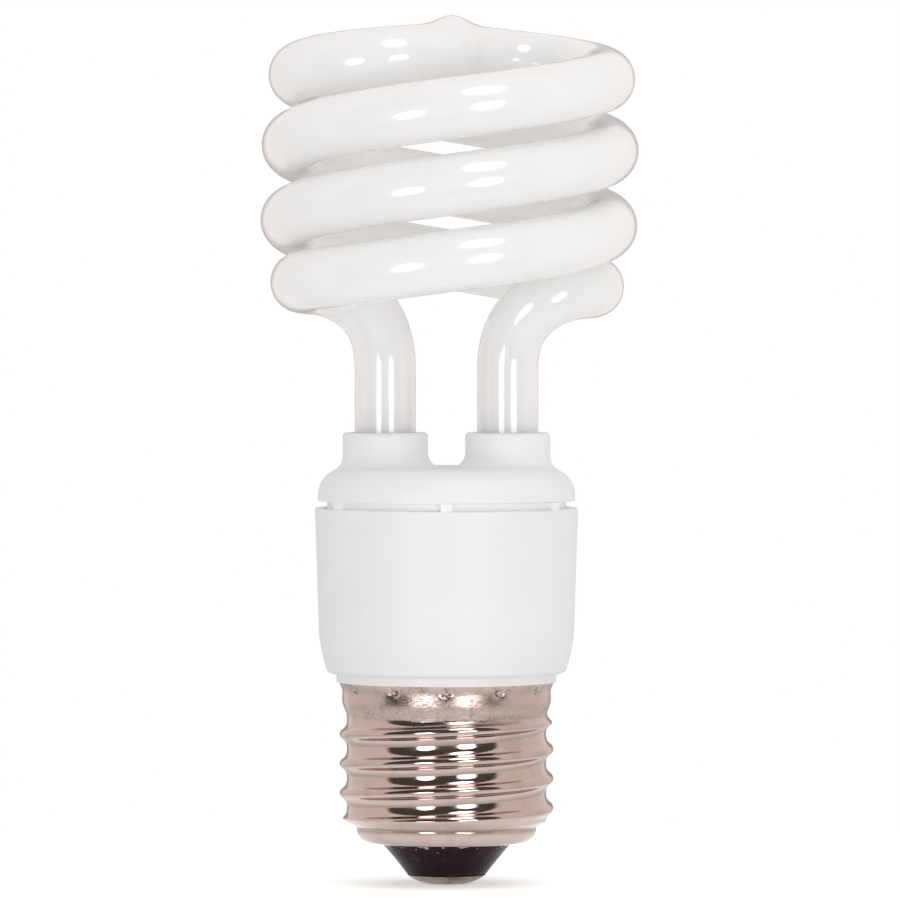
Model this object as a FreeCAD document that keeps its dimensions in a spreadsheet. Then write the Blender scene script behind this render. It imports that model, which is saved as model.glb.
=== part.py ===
import FreeCAD, Part
import math
import os
import re
import Sketcher

# Spiral energy saving lamp with a 26 mm screw cap, as a parametric document in millimetres.
# The lamp stands on its centre contact: the origin is the contact's tip, +Z runs up the axis of the cap,
# and the two tube legs stand on the X axis. The front of the lamp faces -Y.

Vector = FreeCAD.Vector
UP = Vector(0, 0, 1)

# Driving dimensions in millimetres, degrees where the words say so
SIZES = [
    ("contact_d", 9.7, "centre contact, across"),
    ("contact_rise", 1.14, "centre contact, height of its dome"),
    ("contact_flat_d", 3.0, "flat at the tip of the contact"),
    ("contact_stem_d", 3.0, "stem of the contact in the insulator"),
    ("contact_stem_rise", 2.6, "stem of the contact, height"),
    ("insulator_rise", 4.0, "insulator, height of the bare cone"),
    ("insulator_top_d", 16.2, "insulator where it enters the shell"),
    ("insulator_flange_d", 17.8, "insulator, flange inside the shell"),
    ("insulator_flange_rise", 1.9, "insulator, thickness of that flange"),
    ("shell_wall", 0.35, "screw shell, sheet thickness"),
    ("shell_foot_d", 22.2, "screw shell, plain foot across"),
    ("shell_foot_rise", 1.9, "screw shell, height of the foot"),
    ("shell_foot_round", 1.7, "screw shell, rounding under the foot"),
    ("thread_d", 26.3, "rolled thread, over the crests"),
    ("thread_root_d", 24.4, "rolled thread, across the roots"),
    ("thread_pitch", 3.629, "rolled thread, rise in one turn"),
    ("thread_length", 13.7, "threaded stretch of the shell"),
    ("thread_fade", 1.5, "height over which the thread fades at its ends"),
    ("shell_collar_d", 25.7, "plain collar above the thread"),
    ("shell_collar_rise", 3.6, "height of that collar"),
    ("shell_rim_d", 26.6, "flared rim of the shell"),
    ("shell_rim_rise", 0.6, "height of that rim"),
    ("crimp_count", 12, "crimp marks round the collar"),
    ("crimp_across", 2.0, "crimp mark, across"),
    ("crimp_tall", 1.6, "crimp mark, height"),
    ("crimp_depth", 0.22, "crimp mark, depth"),
    ("fit_gap", 0.2, "clearance of parts that slide together"),
    ("neck_wall", 1.2, "housing, wall of the neck in the shell"),
    ("neck_ring_d", 27.1, "housing, ring that the shell butts on"),
    ("neck_ring_rise", 1.05, "housing, height of that ring"),
    ("housing_foot_d", 29.8, "housing, across at its lower corner"),
    ("housing_corner", 0.9, "housing, rounding of the lower corner"),
    ("housing_knee_d", 31.5, "housing, across where the straight wall starts"),
    ("housing_knee_rise", 6.3, "housing, height of the curved lower wall"),
    ("housing_knee_round", 17.6, "housing, radius of the curved lower wall"),
    ("housing_rim_d", 32.4, "housing, across its rim"),
    ("housing_rise", 20.36, "housing, height"),
    ("housing_wall", 1.1, "housing, wall"),
    ("edge_round", 0.18, "rounding of the housing's rim and the cover's edge"),
    ("slot_rise", 0.88, "vent slot between housing and cover"),
    ("rib_count", 6, "spacer ribs in the slot"),
    ("rib_across", 1.4, "spacer rib, width"),
    ("rib_reach", 0.8, "spacer rib, reach out of the skirt"),
    ("cover_d", 31.7, "cover, across its edge"),
    ("cover_rise", 4.05, "cover, height of the roof over its edge"),
    ("cover_shoulder", 3.4, "cover, rounding of the shoulder"),
    ("cover_wall", 1.3, "cover, wall"),
    ("collar_d", 10.5, "leg collar, across"),
    ("collar_rise", 4.34, "leg collar, height over the roof"),
    ("collar_foot_round", 1.9, "leg collar, fillet at its foot"),
    ("collar_lip_round", 0.5, "leg collar, rounding of its lip"),
    ("leg_x", 7.54, "tube leg, distance from the lamp's axis"),
    ("tube_d", 7.5, "glass tube, across"),
    ("leg_inside", 2.6, "tube leg, length below the roof"),
    ("leg_rise", 8.0, "straight tube leg above its collar"),
    ("leg_bend", 9.8, "radius of the bend from leg to coil"),
    ("lead_in_turn", 44.0, "way the bend leaves the leg, degrees from +Y"),
    ("lead_in_x", 18.0, "coil start, distance sideways from the axis"),
    ("coil_radius", 19.43, "coil, radius of the tube's centre line"),
    ("coil_pitch", 18.46, "coil, rise of one strand in a turn"),
    ("coil_climb", 8.0, "rise from the bend's end to the first half turn"),
    ("coil_ramp", 52.0, "angle before the slope is full, degrees"),
    ("coil_open", 60.0, "angle in which the coil opens out, degrees"),
    ("coil_turn", 699.0, "angle at which the bridge starts, degrees"),
    ("bridge_rise", 3.3, "rise of the bridge to the axis"),
    ("coil_lean", 0.95, "lean of the coil on its legs, degrees"),
    ("tip_rise", 1.1, "tip on the bridge, height over the tube"),
    ("tip_d", 5.8, "tip on the bridge, across its foot"),
    ("cement_rise", 1.8, "bead of cement round a leg, height"),
    ("cement_width", 1.1, "bead of cement round a leg, width"),
    ("board_depth", 5.2, "board's underside below the housing's rim"),
    ("board_thick", 1.6, "circuit board, thickness"),
    ("ledge_width", 1.7, "ledge that carries the board, width"),
    ("ledge_thick", 1.2, "ledge that carries the board, thickness"),
    ("ledge_count", 4, "ledges round the housing"),
    ("snap_width", 1.0, "snap bead on the cover's skirt, height"),
    ("snap_depth", 0.3, "snap bead on the cover's skirt, depth"),
    ("snap_drop", 2.0, "snap bead below the housing's rim"),
    ("pin_across", 0.7, "board pin, across"),
    ("pin_rise", 2.8, "board pin, height over the board"),
    ("filament_wire_d", 0.5, "filament lead, across"),
    ("filament_spread", 2.6, "distance of the two leads of a leg"),
    ("part_gap", 0.5, "clearance of the ballast's parts to the ledges"),
    ("smoother_d", 8.0, "smoothing capacitor, across"),
    ("smoother_tall", 14.0, "smoothing capacitor, height"),
    ("smoother_bead", 0.35, "smoothing capacitor, depth of its groove"),
    ("choke_wide", 10.2, "choke core, width"),
    ("choke_thick", 4.8, "choke core, thickness"),
    ("choke_tall", 11.0, "choke core, height"),
    ("choke_limb", 2.2, "choke core, outer limb and yoke"),
    ("choke_middle", 3.3, "choke core, middle limb"),
    ("bobbin_depth", 7.0, "choke bobbin, depth of its flanges"),
    ("bobbin_flange", 0.8, "choke bobbin, thickness of a flange"),
    ("bobbin_wall", 0.4, "choke bobbin, wall of its barrel"),
    ("winding_sink", 0.3, "winding below the edge of the flanges"),
    ("toroid_d", 7.0, "drive toroid, across"),
    ("toroid_bore", 3.4, "drive toroid, bore"),
    ("toroid_tall", 3.0, "drive toroid, height"),
    ("toroid_angle", 214.0, "place of the drive toroid, degrees"),
    ("toroid_wire_d", 0.7, "wire on the toroid, across"),
    ("transistor_d", 4.6, "transistor case, across"),
    ("transistor_flat", 1.6, "transistor case, centre to its flat"),
    ("transistor_tall", 4.7, "transistor case, height"),
    ("transistor_stand", 2.0, "transistor leads, length"),
    ("diode_d", 2.7, "rectifier diode, across"),
    ("diode_tall", 5.2, "rectifier diode, height"),
    ("diode_step", 16.0, "angle from one rectifier diode to the next, degrees"),
    ("film_wide", 6.0, "film capacitors, width"),
    ("film_thick", 3.0, "film capacitors, thickness"),
    ("film_tall", 6.5, "film capacitors, height"),
    ("trigger_d", 1.9, "trigger diode, across"),
    ("trigger_tall", 4.0, "trigger diode, height"),
    ("resistor_d", 2.3, "start resistors, across"),
    ("resistor_tall", 6.0, "start resistors, height"),
    ("pigtail_d", 0.6, "leads of small parts, across"),
    ("pigtail_tall", 1.0, "leads of small parts, length"),
    ("fuse_d", 3.2, "fuse resistor, across"),
    ("fuse_tall", 8.0, "fuse resistor, height"),
    ("fuse_drop", 4.0, "fuse resistor below the shell's rim"),
    ("wire_d", 0.9, "phase and neutral leads, across"),
    ("wire_bend", 2.5, "phase and neutral leads, radius of their bends"),
    ("wire_lane", 5.7, "phase and neutral leads, distance from the axis"),
]
# Shares that shape a curve and places on the round board, in degrees
RIDGE_SHARE = 0.45
COLLAR_GAP_SHARE = 0.85
THREAD_START_SHARE = 0.35
TIP_CREST_SHARE = 0.4
TIP_FLANK_SHARE = 0.7
TRANSISTOR_ANGLES = (-6, 26)
TRIGGER_ANGLE = 51
EDGE_RESISTOR_ANGLE = 287
INNER_RESISTOR_ANGLE = 330
COUPLING_ANGLE = 262
RESONANCE_ANGLE = 312
PHASE_ANGLE = 165
NEUTRAL_ANGLE = 180

ALIAS = re.compile(r"\b(" + "|".join(alias for alias, _, _ in SIZES) + r")\b")

# Heights up the axis, each from the sizes below it
FOOT_Z = "(contact_rise + insulator_rise)"
THREAD_Z = f"({FOOT_Z} + shell_foot_rise)"
COLLAR_Z = f"({THREAD_Z} + thread_length)"
RIM_Z = f"({COLLAR_Z} + shell_collar_rise)"
RING_Z = f"({RIM_Z} + shell_rim_rise)"
HOUSING_Z = f"({RING_Z} + neck_ring_rise)"
KNEE_Z = f"({HOUSING_Z} + housing_knee_rise)"
MOUTH_Z = f"({HOUSING_Z} + housing_rise)"
EDGE_Z = f"({MOUTH_Z} + slot_rise)"
ROOF_Z = f"({EDGE_Z} + cover_rise)"
LIP_Z = f"({ROOF_Z} + collar_rise)"
FLOOR_Z = f"({HOUSING_Z} + housing_wall)"
BOARD_Z = f"({MOUTH_Z} - board_depth)"
BOARD_TOP_Z = f"({BOARD_Z} + board_thick)"
CEILING_Z = f"({ROOF_Z} - cover_wall)"
LEG_FOOT_Z = f"({CEILING_Z} - leg_inside)"

# Radii that several pieces share
BORE_R = "(thread_root_d / 2 - shell_wall)"
NECK_R = f"({BORE_R} - fit_gap)"
NECK_BORE_R = f"({NECK_R} - neck_wall)"
MOUTH_R = "(housing_rim_d / 2 - housing_wall)"
TAPER = "((housing_rim_d - housing_knee_d) / 2 / (housing_rise - housing_knee_rise))"
SKIRT_R = f"({MOUTH_R} - board_depth * {TAPER} - fit_gap)"
LEDGE_R = f"({MOUTH_R} - board_depth * {TAPER} - ledge_width)"
BOARD_R = f"({MOUTH_R} - board_depth * {TAPER} - fit_gap)"
PARTS_R = f"({LEDGE_R} - part_gap)"

doc = FreeCAD.newDocument("spiral_lamp")
sheet = doc.addObject("Spreadsheet::Sheet", "Sizes")
subparts = []


def fill_sheet():
    """Write the driving dimensions into the sheet, one row each."""
    for row, (alias, number, words) in enumerate(SIZES, start=1):
        sheet.set(f"A{row}", words)
        sheet.set(f"B{row}", str(number))
        sheet.setAlias(f"B{row}", alias)
    doc.recompute()


def sized(text):
    """Turn a text of size names into an expression on the sheet."""
    return ALIAS.sub(r"Sizes.\1", str(text))


def number(text):
    """Value of a text of size names."""
    return float(sheet.evalExpression(sized(text)))


def bind(thing, **properties):
    """Bind properties to the sheet. A double underscore stands for a dot."""
    for name, text in properties.items():
        thing.setExpression(name.replace("__", "."), sized(text))


def place(thing, x="0", y="0", z="0"):
    """Bind a piece's position to the sheet."""
    bind(thing, Placement__Base__x=x, Placement__Base__y=y, Placement__Base__z=z)
    return thing


def keep(thing, label):
    """List a finished sub-part under its label."""
    thing.Label = label
    subparts.append(thing)
    return thing


# Sketches and features of a body


def new_body(label):
    """An empty body, listed as a sub-part."""
    return keep(doc.addObject("PartDesign::Body", label), label)


def origin_feature(body, role):
    """A plane or axis of the body's own origin."""
    return next(item for item in body.Origin.OriginFeatures if item.Role == role)


def new_sketch(body, name, role="XZ_Plane", height=None):
    """An empty sketch on an origin plane of the body, lifted to a height."""
    sketch = body.newObject("Sketcher::SketchObject", name)
    sketch.AttachmentSupport = [(origin_feature(body, role), "")]
    sketch.MapMode = "FlatFace"
    if height is not None:
        bind(sketch, AttachmentOffset__Base__z=height)
    return sketch


def arc_between(start, end, radius, turn):
    """Short arc from start to end, turning left (1) or right (-1)."""
    middle = (start + end) / 2
    chord = end - start
    side = Vector(-chord.y, chord.x, 0).normalize() * turn
    rise = math.sqrt(max(radius**2 - chord.Length**2 / 4, 0))
    centre = middle + side * rise
    first, last = (start, end) if turn > 0 else (end, start)
    angles = [math.atan2(point.y - centre.y, point.x - centre.x) for point in (first, last)]
    return Part.ArcOfCircle(Part.Circle(centre, UP, radius), *angles)


def draw_outline(sketch, corners):
    """Closed outline through corners (x, y) or (x, y, radius, turn), where an arc runs to the next corner."""
    spots = [Vector(number(corner[0]), number(corner[1]), 0) for corner in corners]
    starts, ends = [], []
    for index, corner in enumerate(corners):
        start, end = spots[index], spots[(index + 1) % len(spots)]
        if len(corner) == 2:
            geometry = sketch.addGeometry(Part.LineSegment(start, end), False)
            order = (1, 2)
        else:
            geometry = sketch.addGeometry(arc_between(start, end, number(corner[2]), corner[3]), False)
            order = (1, 2) if corner[3] > 0 else (2, 1)
            radius = sketch.addConstraint(Sketcher.Constraint("Radius", geometry, number(corner[2])))
            sketch.setExpression(f"Constraints[{radius}]", sized(corner[2]))
        starts.append((geometry, order[0]))
        ends.append((geometry, order[1]))
    for index, corner in enumerate(corners):
        sketch.addConstraint(Sketcher.Constraint("Coincident", *ends[index - 1], *starts[index]))
        for kind, axis, text in (("DistanceX", -2, corner[0]), ("DistanceY", -1, corner[1])):
            if text == "0":
                sketch.addConstraint(Sketcher.Constraint("PointOnObject", *starts[index], axis))
                continue
            spot = sketch.addConstraint(Sketcher.Constraint(kind, -1, 1, *starts[index], number(text)))
            sketch.setExpression(f"Constraints[{spot}]", sized(text))


def draw_circle(sketch, x, radius, mirrored=False):
    """Circle on the sketch's X axis, on its other side if mirrored."""
    side = -1 if mirrored else 1
    centre = Vector(side * number(x), 0, 0)
    circle = sketch.addGeometry(Part.Circle(centre, UP, number(radius)), False)
    sketch.addConstraint(Sketcher.Constraint("PointOnObject", circle, 3, -1))
    ends = ((circle, 3), (-1, 1)) if mirrored else ((-1, 1), (circle, 3))
    reach = sketch.addConstraint(Sketcher.Constraint("DistanceX", *ends[0], *ends[1], number(x)))
    sketch.setExpression(f"Constraints[{reach}]", sized(x))
    width = sketch.addConstraint(Sketcher.Constraint("Radius", circle, number(radius)))
    sketch.setExpression(f"Constraints[{width}]", sized(radius))


def turned(body, name, corners, kind="PartDesign::Revolution"):
    """Full turn of an outline about the lamp's axis, added or cut away."""
    sketch = new_sketch(body, f"{name}_outline")
    draw_outline(sketch, corners)
    feature = body.newObject(kind, name)
    feature.Profile = sketch
    feature.ReferenceAxis = (sketch, ["V_Axis"])
    feature.Angle = 360
    doc.recompute()
    return feature


def polar_pattern(body, feature, count):
    """Repeat a feature round the lamp's axis and make it the body's tip."""
    pattern = body.newObject("PartDesign::PolarPattern", f"{feature.Name}_ring")
    pattern.Originals = [feature]
    pattern.Axis = (origin_feature(body, "Z_Axis"), [""])
    pattern.Angle = 360
    bind(pattern, Occurrences=count)
    body.Tip = pattern
    doc.recompute()
    return pattern


def rounded(body, name, base, edges, radius):
    """Fillet on the edges of a feature that a test picks."""
    picked = [f"Edge{n}" for n, edge in enumerate(base.Shape.Edges, start=1) if edges(edge)]
    feature = body.newObject("PartDesign::Fillet", name)
    feature.Base = (base, picked)
    bind(feature, Radius=radius)
    doc.recompute()
    return feature


# Primitives and booleans of the ballast


def cylinder(name, radius, height, x="0", y="0", z="0"):
    """Upright cylinder on a bound position."""
    solid = doc.addObject("Part::Cylinder", name)
    bind(solid, Radius=radius, Height=height)
    return place(solid, x, y, z)


def box(name, length, width, height, x="0", y="0", z="0"):
    """Box centred on x and y, on a bound position."""
    solid = doc.addObject("Part::Box", name)
    bind(solid, Length=length, Width=width, Height=height)
    return place(solid, f"({x}) - ({length}) / 2", f"({y}) - ({width}) / 2", z)


def joined(name, pieces):
    """Pieces fused into one object, or kept as separate solids where they don't meet."""
    solid = doc.addObject("Part::MultiFuse", name)
    solid.Shapes = pieces
    return solid


def less(name, base, tool):
    """Base with the tool cut away."""
    solid = doc.addObject("Part::Cut", name)
    solid.Base = base
    solid.Tool = tool
    return solid


def around(radius, angle):
    """Texts of x and y at a radius and an angle in degrees about the axis."""
    return f"({radius}) * cos(({angle}) * 1deg)", f"({radius}) * sin(({angle}) * 1deg)"


def turn_to(solid, angle):
    """Turn a piece about its own origin by a bound angle in degrees."""
    bind(solid, Placement__Rotation__Angle=angle)
    return solid


def shaped(label, shape):
    """Sub-part whose shape is made by Part's own functions."""
    feature = doc.addObject("Part::Feature", label)
    feature.Shape = shape
    feature.Placement = FreeCAD.Placement()
    return keep(feature, label)


# Glass tube


def arc_edge(start, heading, end):
    """Arc from a start with a heading to an end, or a line where it hardly bends."""
    chord = end - start
    along = Vector(chord).normalize()
    aside = heading - along * heading.dot(along)
    if aside.Length < 1e-6:
        return Part.LineSegment(start, end).toShape()
    lift = math.tan(math.atan2(aside.Length, heading.dot(along)) / 2) * chord.Length / 2
    return Part.Arc(start, start + chord / 2 + aside.normalize() * lift, end).toShape()


def arc_pair(start, first, end, last):
    """Two tangent arcs that leave start along first and reach end along last."""
    span = end - start
    both = first + last
    spread = 2 * (1 - first.dot(last))
    reach = span.dot(both)
    if spread < 1e-9:
        length = span.dot(span) / (2 * reach)
    else:
        length = (math.sqrt(reach**2 + spread * span.dot(span)) - reach) / spread
    joint = (start + end + (first - last) * length) / 2
    heading = (joint - start - first * length).normalize()
    return [arc_edge(start, first, joint), arc_edge(joint, heading, end)]


def smooth(share):
    """Ramp from 0 to 1 with level ends."""
    share = min(max(share, 0), 1)
    return share * share * (3 - 2 * share)


def blend(share, start, slope, end):
    """Curve from start, with a slope, to a level end."""
    two, three = share**2, share**3
    return start + (three - 2 * two + share) * slope + (3 * two - 2 * three) * (end - start)


class CoilRoute:
    """Centre line of one strand, from the leg's bend up to the lamp's axis."""

    def __init__(self):
        self.leg_x = number("leg_x")
        self.bend = number("leg_bend")
        self.foot = number(LEG_FOOT_Z)
        self.bend_z = number(f"{LIP_Z} + leg_rise")
        self.level_z = self.bend_z + self.bend
        self.turn = math.radians(number("lead_in_turn"))
        self.side = number("lead_in_x")
        self.lead_radius = (self.side - self.leg_x) / (1 + math.cos(self.turn))
        self.lead_x = -self.leg_x - self.lead_radius * math.cos(self.turn)
        self.lead_y = -self.lead_radius * math.sin(self.turn)
        self.lead_length = self.lead_radius * (math.pi - self.turn)
        self.start_radius = math.hypot(self.side, self.lead_y)
        self.start = math.pi + math.atan2(-self.lead_y, self.side)
        self.radius = number("coil_radius")
        self.rise = number("coil_pitch") / (2 * math.pi)
        self.climb = number("coil_climb")
        self.ramp = math.radians(number("coil_ramp"))
        self.open = math.radians(number("coil_open"))
        self.end = math.radians(number("coil_turn"))
        self.bridge_rise = number("bridge_rise")
        self.lean = math.radians(number("coil_lean"))

    def height(self, angle):
        """Rise over the level of the bend at an angle of the coil."""
        meet = 2 * math.pi - self.climb / self.rise
        past = angle - meet
        if past >= self.ramp:
            return self.rise * past
        return self.rise * max(past + self.ramp, 0) ** 2 / (4 * self.ramp)

    def lead_in(self, length):
        """Plan arc from the leg to the coil, at a length along it."""
        angle = self.turn + length / self.lead_radius
        x = self.lead_x + self.lead_radius * math.cos(angle)
        y = self.lead_y + self.lead_radius * math.sin(angle)
        coil_angle = self.start - (self.lead_length - length) / self.start_radius
        return Vector(x, y, self.level_z + self.height(coil_angle))

    def bend_up(self, angle):
        """Bend from upright to level, at an angle of its arc."""
        spot = self.lead_in(self.bend * (1 - math.cos(angle)))
        return spot - UP * self.bend * (1 - math.sin(angle))

    def coil(self, angle):
        """Helix that opens out to its full radius, at an angle about the axis."""
        share = min((angle - self.start) / self.open, 1)
        slope = self.start_radius * math.tan(self.start - math.pi) * self.open
        radius = blend(share, self.start_radius, slope, self.radius)
        return Vector(radius * math.cos(angle), radius * math.sin(angle), self.level_z + self.height(angle))

    def bridge(self, angle):
        """Arc from the coil to the axis, at an angle past the coil's end."""
        share = angle / (math.pi / 2)
        radius = self.radius * math.cos(angle)
        start_z = self.height(self.end)
        z = self.level_z + blend(share, start_z, self.rise * math.pi / 2, start_z + self.bridge_rise)
        about = self.end + angle
        return Vector(radius * math.cos(about), radius * math.sin(about), z)

    def leaned(self, spot, side):
        """Spot on the first strand (1) or the second (-1), with the coil's lean."""
        spot = Vector(spot.x * side, spot.y * side, spot.z)
        tilt = self.lean * smooth((spot.z - self.bend_z) / self.bend)
        return FreeCAD.Rotation(Vector(0, 1, 0), math.degrees(tilt)).multVec(
            spot - UP * self.bend_z
        ) + UP * self.bend_z

    def stations(self, side):
        """Spots and headings of a strand, from its bend to the axis."""
        stretches = [
            (self.bend_up, 0, math.pi / 2, 6),
            (self.lead_in, self.bend, self.lead_length, 2),
            (self.coil, self.start, self.end, 24),
            (self.bridge, 0, math.pi / 2, 6),
        ]
        nudge = 1e-4
        found = []
        for route, first, last, count in stretches:
            for step in range(count):
                at = first + (last - first) * step / count
                heading = self.leaned(route(at + nudge), side) - self.leaned(route(at - nudge), side)
                found.append((self.leaned(route(at), side), heading.normalize()))
        return found

    def axis_station(self):
        """Spot and heading where the two strands meet on the axis."""
        nudge = 1e-4
        before = self.leaned(self.bridge(math.pi / 2 - nudge), 1)
        after = self.leaned(self.bridge(math.pi / 2 - nudge), -1)
        return (before + after) / 2, (after - before).normalize()

    def wire(self):
        """The whole centre line, from one leg's foot to the other's."""
        first = self.stations(1)
        second = [(spot, heading * -1) for spot, heading in reversed(self.stations(-1))]
        route = first + [self.axis_station()] + second
        feet = [Vector(-self.leg_x, 0, self.foot), Vector(self.leg_x, 0, self.foot)]
        edges = [Part.LineSegment(feet[0], route[0][0]).toShape()]
        for (start, heading), (end, final) in zip(route, route[1:]):
            edges += arc_pair(start, heading, end, final)
        edges.append(Part.LineSegment(route[-1][0], feet[1]).toShape())
        return Part.Wire(edges)


def spiral_tube():
    """Coiled glass tube: a circle swept along tangent arcs, with the sealed tip on its bridge."""
    route = CoilRoute()
    path = route.wire()
    radius = number("tube_d") / 2
    section = Part.Wire(Part.makeCircle(radius, path.Edges[0].Vertexes[0].Point, UP))
    tube = path.makePipeShell([section], True, False)
    tube = Part.Solid(tube) if tube.ShapeType == "Shell" else tube
    expected = math.pi * radius**2 * path.Length
    if abs(tube.Volume / expected - 1) > 0.01:
        raise RuntimeError(f"tube volume {tube.Volume:.1f}, expected {expected:.1f}")
    spot, _ = route.axis_station()
    crown = radius + number("tip_rise")
    foot = number("tip_d") / 2
    flank_z = math.sqrt(radius**2 - foot**2)
    poles = [(0, crown), (TIP_CREST_SHARE * foot, crown), (TIP_FLANK_SHARE * foot, radius), (foot, flank_z)]
    flank = Part.BezierCurve()
    flank.setPoles([Vector(x, 0, z) for x, z in poles])
    outline = [Vector(foot, 0, flank_z), Vector(foot, 0, 0), Vector(), Vector(0, 0, crown)]
    edges = [flank.toShape()] + [Part.LineSegment(a, b).toShape() for a, b in zip(outline, outline[1:])]
    tip = Part.Face(Part.Wire(edges)).revolve(Vector(), UP, 360)
    tip.Placement = FreeCAD.Placement(spot, FreeCAD.Rotation(Vector(0, 1, 0), number("coil_lean")))
    return shaped("spiral_tube", tube.fuse(tip))


def tube_cement():
    """Bead of cement round each leg under the cover's roof."""
    beads = []
    for side in (-1, 1):
        outer = cylinder("bead", "tube_d / 2 + cement_width", "cement_rise", f"{side} * leg_x", "0",
                         f"{CEILING_Z} - cement_rise")
        leg = cylinder("bead_bore", "tube_d / 2", "cement_rise", f"{side} * leg_x", "0",
                       f"{CEILING_Z} - cement_rise")
        beads.append(less("cement_ring", outer, leg))
    keep(joined("tube_cement", beads), "tube_cement")


# Screw cap


def centre_contact():
    """Metal dome with a stem that holds it in the insulator."""
    body = new_body("centre_contact")
    dome_r = "(((contact_d - contact_flat_d) / 2) ^ 2 + contact_rise ^ 2) / (2 * contact_rise)"
    turned(body, "contact_dome", [
        ("0", "0"),
        ("contact_flat_d / 2", "0", dome_r, 1),
        ("contact_d / 2", "contact_rise"),
        ("contact_stem_d / 2", "contact_rise"),
        ("contact_stem_d / 2", "contact_rise + contact_stem_rise"),
        ("wire_d / 2", "contact_rise + contact_stem_rise"),
        ("wire_d / 2", "contact_rise"),
        ("0", "contact_rise"),
    ])


def insulator():
    """Black glass cone that carries the contact, with a flange inside the shell."""
    body = new_body("insulator")
    seat_z = f"({FOOT_Z} + shell_wall)"
    turned(body, "insulator_cone", [
        ("contact_stem_d / 2", "contact_rise"),
        ("contact_d / 2", "contact_rise"),
        ("insulator_top_d / 2", FOOT_Z),
        ("insulator_top_d / 2", seat_z),
        ("insulator_flange_d / 2", seat_z),
        ("insulator_flange_d / 2", f"{seat_z} + insulator_flange_rise"),
        ("contact_stem_d / 2", f"{seat_z} + insulator_flange_rise"),
    ])


def screw_shell():
    """Rolled screw shell: a blank, the thread, the turned outside and bore, then the crimp marks."""
    body = new_body("screw_shell")
    swell = "(thread_d / 2 + shell_wall)"
    turned(body, "shell_blank", [
        ("0", FOOT_Z),
        ("thread_root_d / 2", FOOT_Z),
        ("thread_root_d / 2", f"{COLLAR_Z} - thread_fade / 2"),
        ("thread_d / 2", COLLAR_Z),
        ("thread_d / 2", RIM_Z),
        ("shell_rim_d / 2", f"{RIM_Z} + shell_rim_rise / 2"),
        ("shell_rim_d / 2", RING_Z),
        ("0", RING_Z),
    ])
    roll_thread(body)
    turned(body, "shell_outside", [
        ("shell_foot_d / 2 - shell_foot_round", FOOT_Z, "shell_foot_round", 1),
        ("shell_foot_d / 2", f"{FOOT_Z} + shell_foot_round"),
        ("shell_foot_d / 2", THREAD_Z),
        (swell, f"{THREAD_Z} + thread_fade"),
        (swell, f"{FOOT_Z} - thread_pitch"),
        ("shell_foot_d / 2 - shell_foot_round", f"{FOOT_Z} - thread_pitch"),
    ], "PartDesign::Groove")
    turned(body, "shell_collar", [
        ("shell_collar_d / 2", COLLAR_Z),
        ("shell_collar_d / 2", RIM_Z),
        (swell, f"{RIM_Z} + shell_rim_rise / 2"),
        (swell, f"{COLLAR_Z} - thread_fade"),
    ], "PartDesign::Groove")
    inner_round = "(shell_foot_round - shell_wall)"
    inner_foot = "(shell_foot_d / 2 - shell_wall)"
    turned(body, "shell_bore", [
        ("0", f"{FOOT_Z} - shell_wall"),
        ("insulator_top_d / 2", f"{FOOT_Z} - shell_wall"),
        ("insulator_top_d / 2", f"{FOOT_Z} + shell_wall"),
        (f"{inner_foot} - {inner_round}", f"{FOOT_Z} + shell_wall", inner_round, 1),
        (inner_foot, f"{FOOT_Z} + shell_foot_round"),
        (inner_foot, f"{THREAD_Z} + shell_wall"),
        (BORE_R, f"{THREAD_Z} + thread_fade"),
        (BORE_R, f"{COLLAR_Z} - thread_fade / 2"),
        ("shell_collar_d / 2 - shell_wall", COLLAR_Z),
        ("shell_collar_d / 2 - shell_wall", f"{RING_Z} + shell_wall"),
        ("0", f"{RING_Z} + shell_wall"),
    ], "PartDesign::Groove")
    crimp = body.newObject("PartDesign::SubtractiveEllipsoid", "crimp_mark")
    bind(crimp, Radius1="crimp_tall / 2", Radius2="crimp_depth", Radius3="crimp_across / 2")
    place(crimp, "shell_collar_d / 2", "0", f"{RIM_Z} - crimp_tall / 2 - shell_wall")
    doc.recompute()
    polar_pattern(body, crimp, "crimp_count")


def roll_thread(body):
    """Round ridge of the thread, swept up a helix that starts below the foot's top and ends in the collar."""
    sunk_r = "(thread_root_d / 2 - shell_wall / 6)"
    deep = f"(thread_d / 2 - {sunk_r})"
    half = f"(thread_pitch * {RIDGE_SHARE})"
    bulge = f"(({deep}) ^ 2 + {half} ^ 2) / (4 * {deep})"
    middle_r = f"((thread_d / 2 + {sunk_r}) / 2)"
    start_z = f"({THREAD_Z} - thread_pitch * {THREAD_START_SHARE})"
    sketch = new_sketch(body, "thread_outline")
    draw_outline(sketch, [
        (sunk_r, f"{start_z} - {half}", bulge, -1),
        (middle_r, f"{start_z} - {half} / 2", bulge, 1),
        (middle_r, f"{start_z} + {half} / 2", bulge, -1),
        (sunk_r, f"{start_z} + {half}"),
    ])
    thread = body.newObject("PartDesign::AdditiveHelix", "rolled_thread")
    thread.Profile = sketch
    thread.ReferenceAxis = (sketch, ["V_Axis"])
    thread.Mode = "pitch-height-angle"
    bind(thread, Pitch="thread_pitch", Height=f"{COLLAR_Z} - {start_z} + thread_fade / 2")
    doc.recompute()


# Plastic housing and cover


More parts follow.
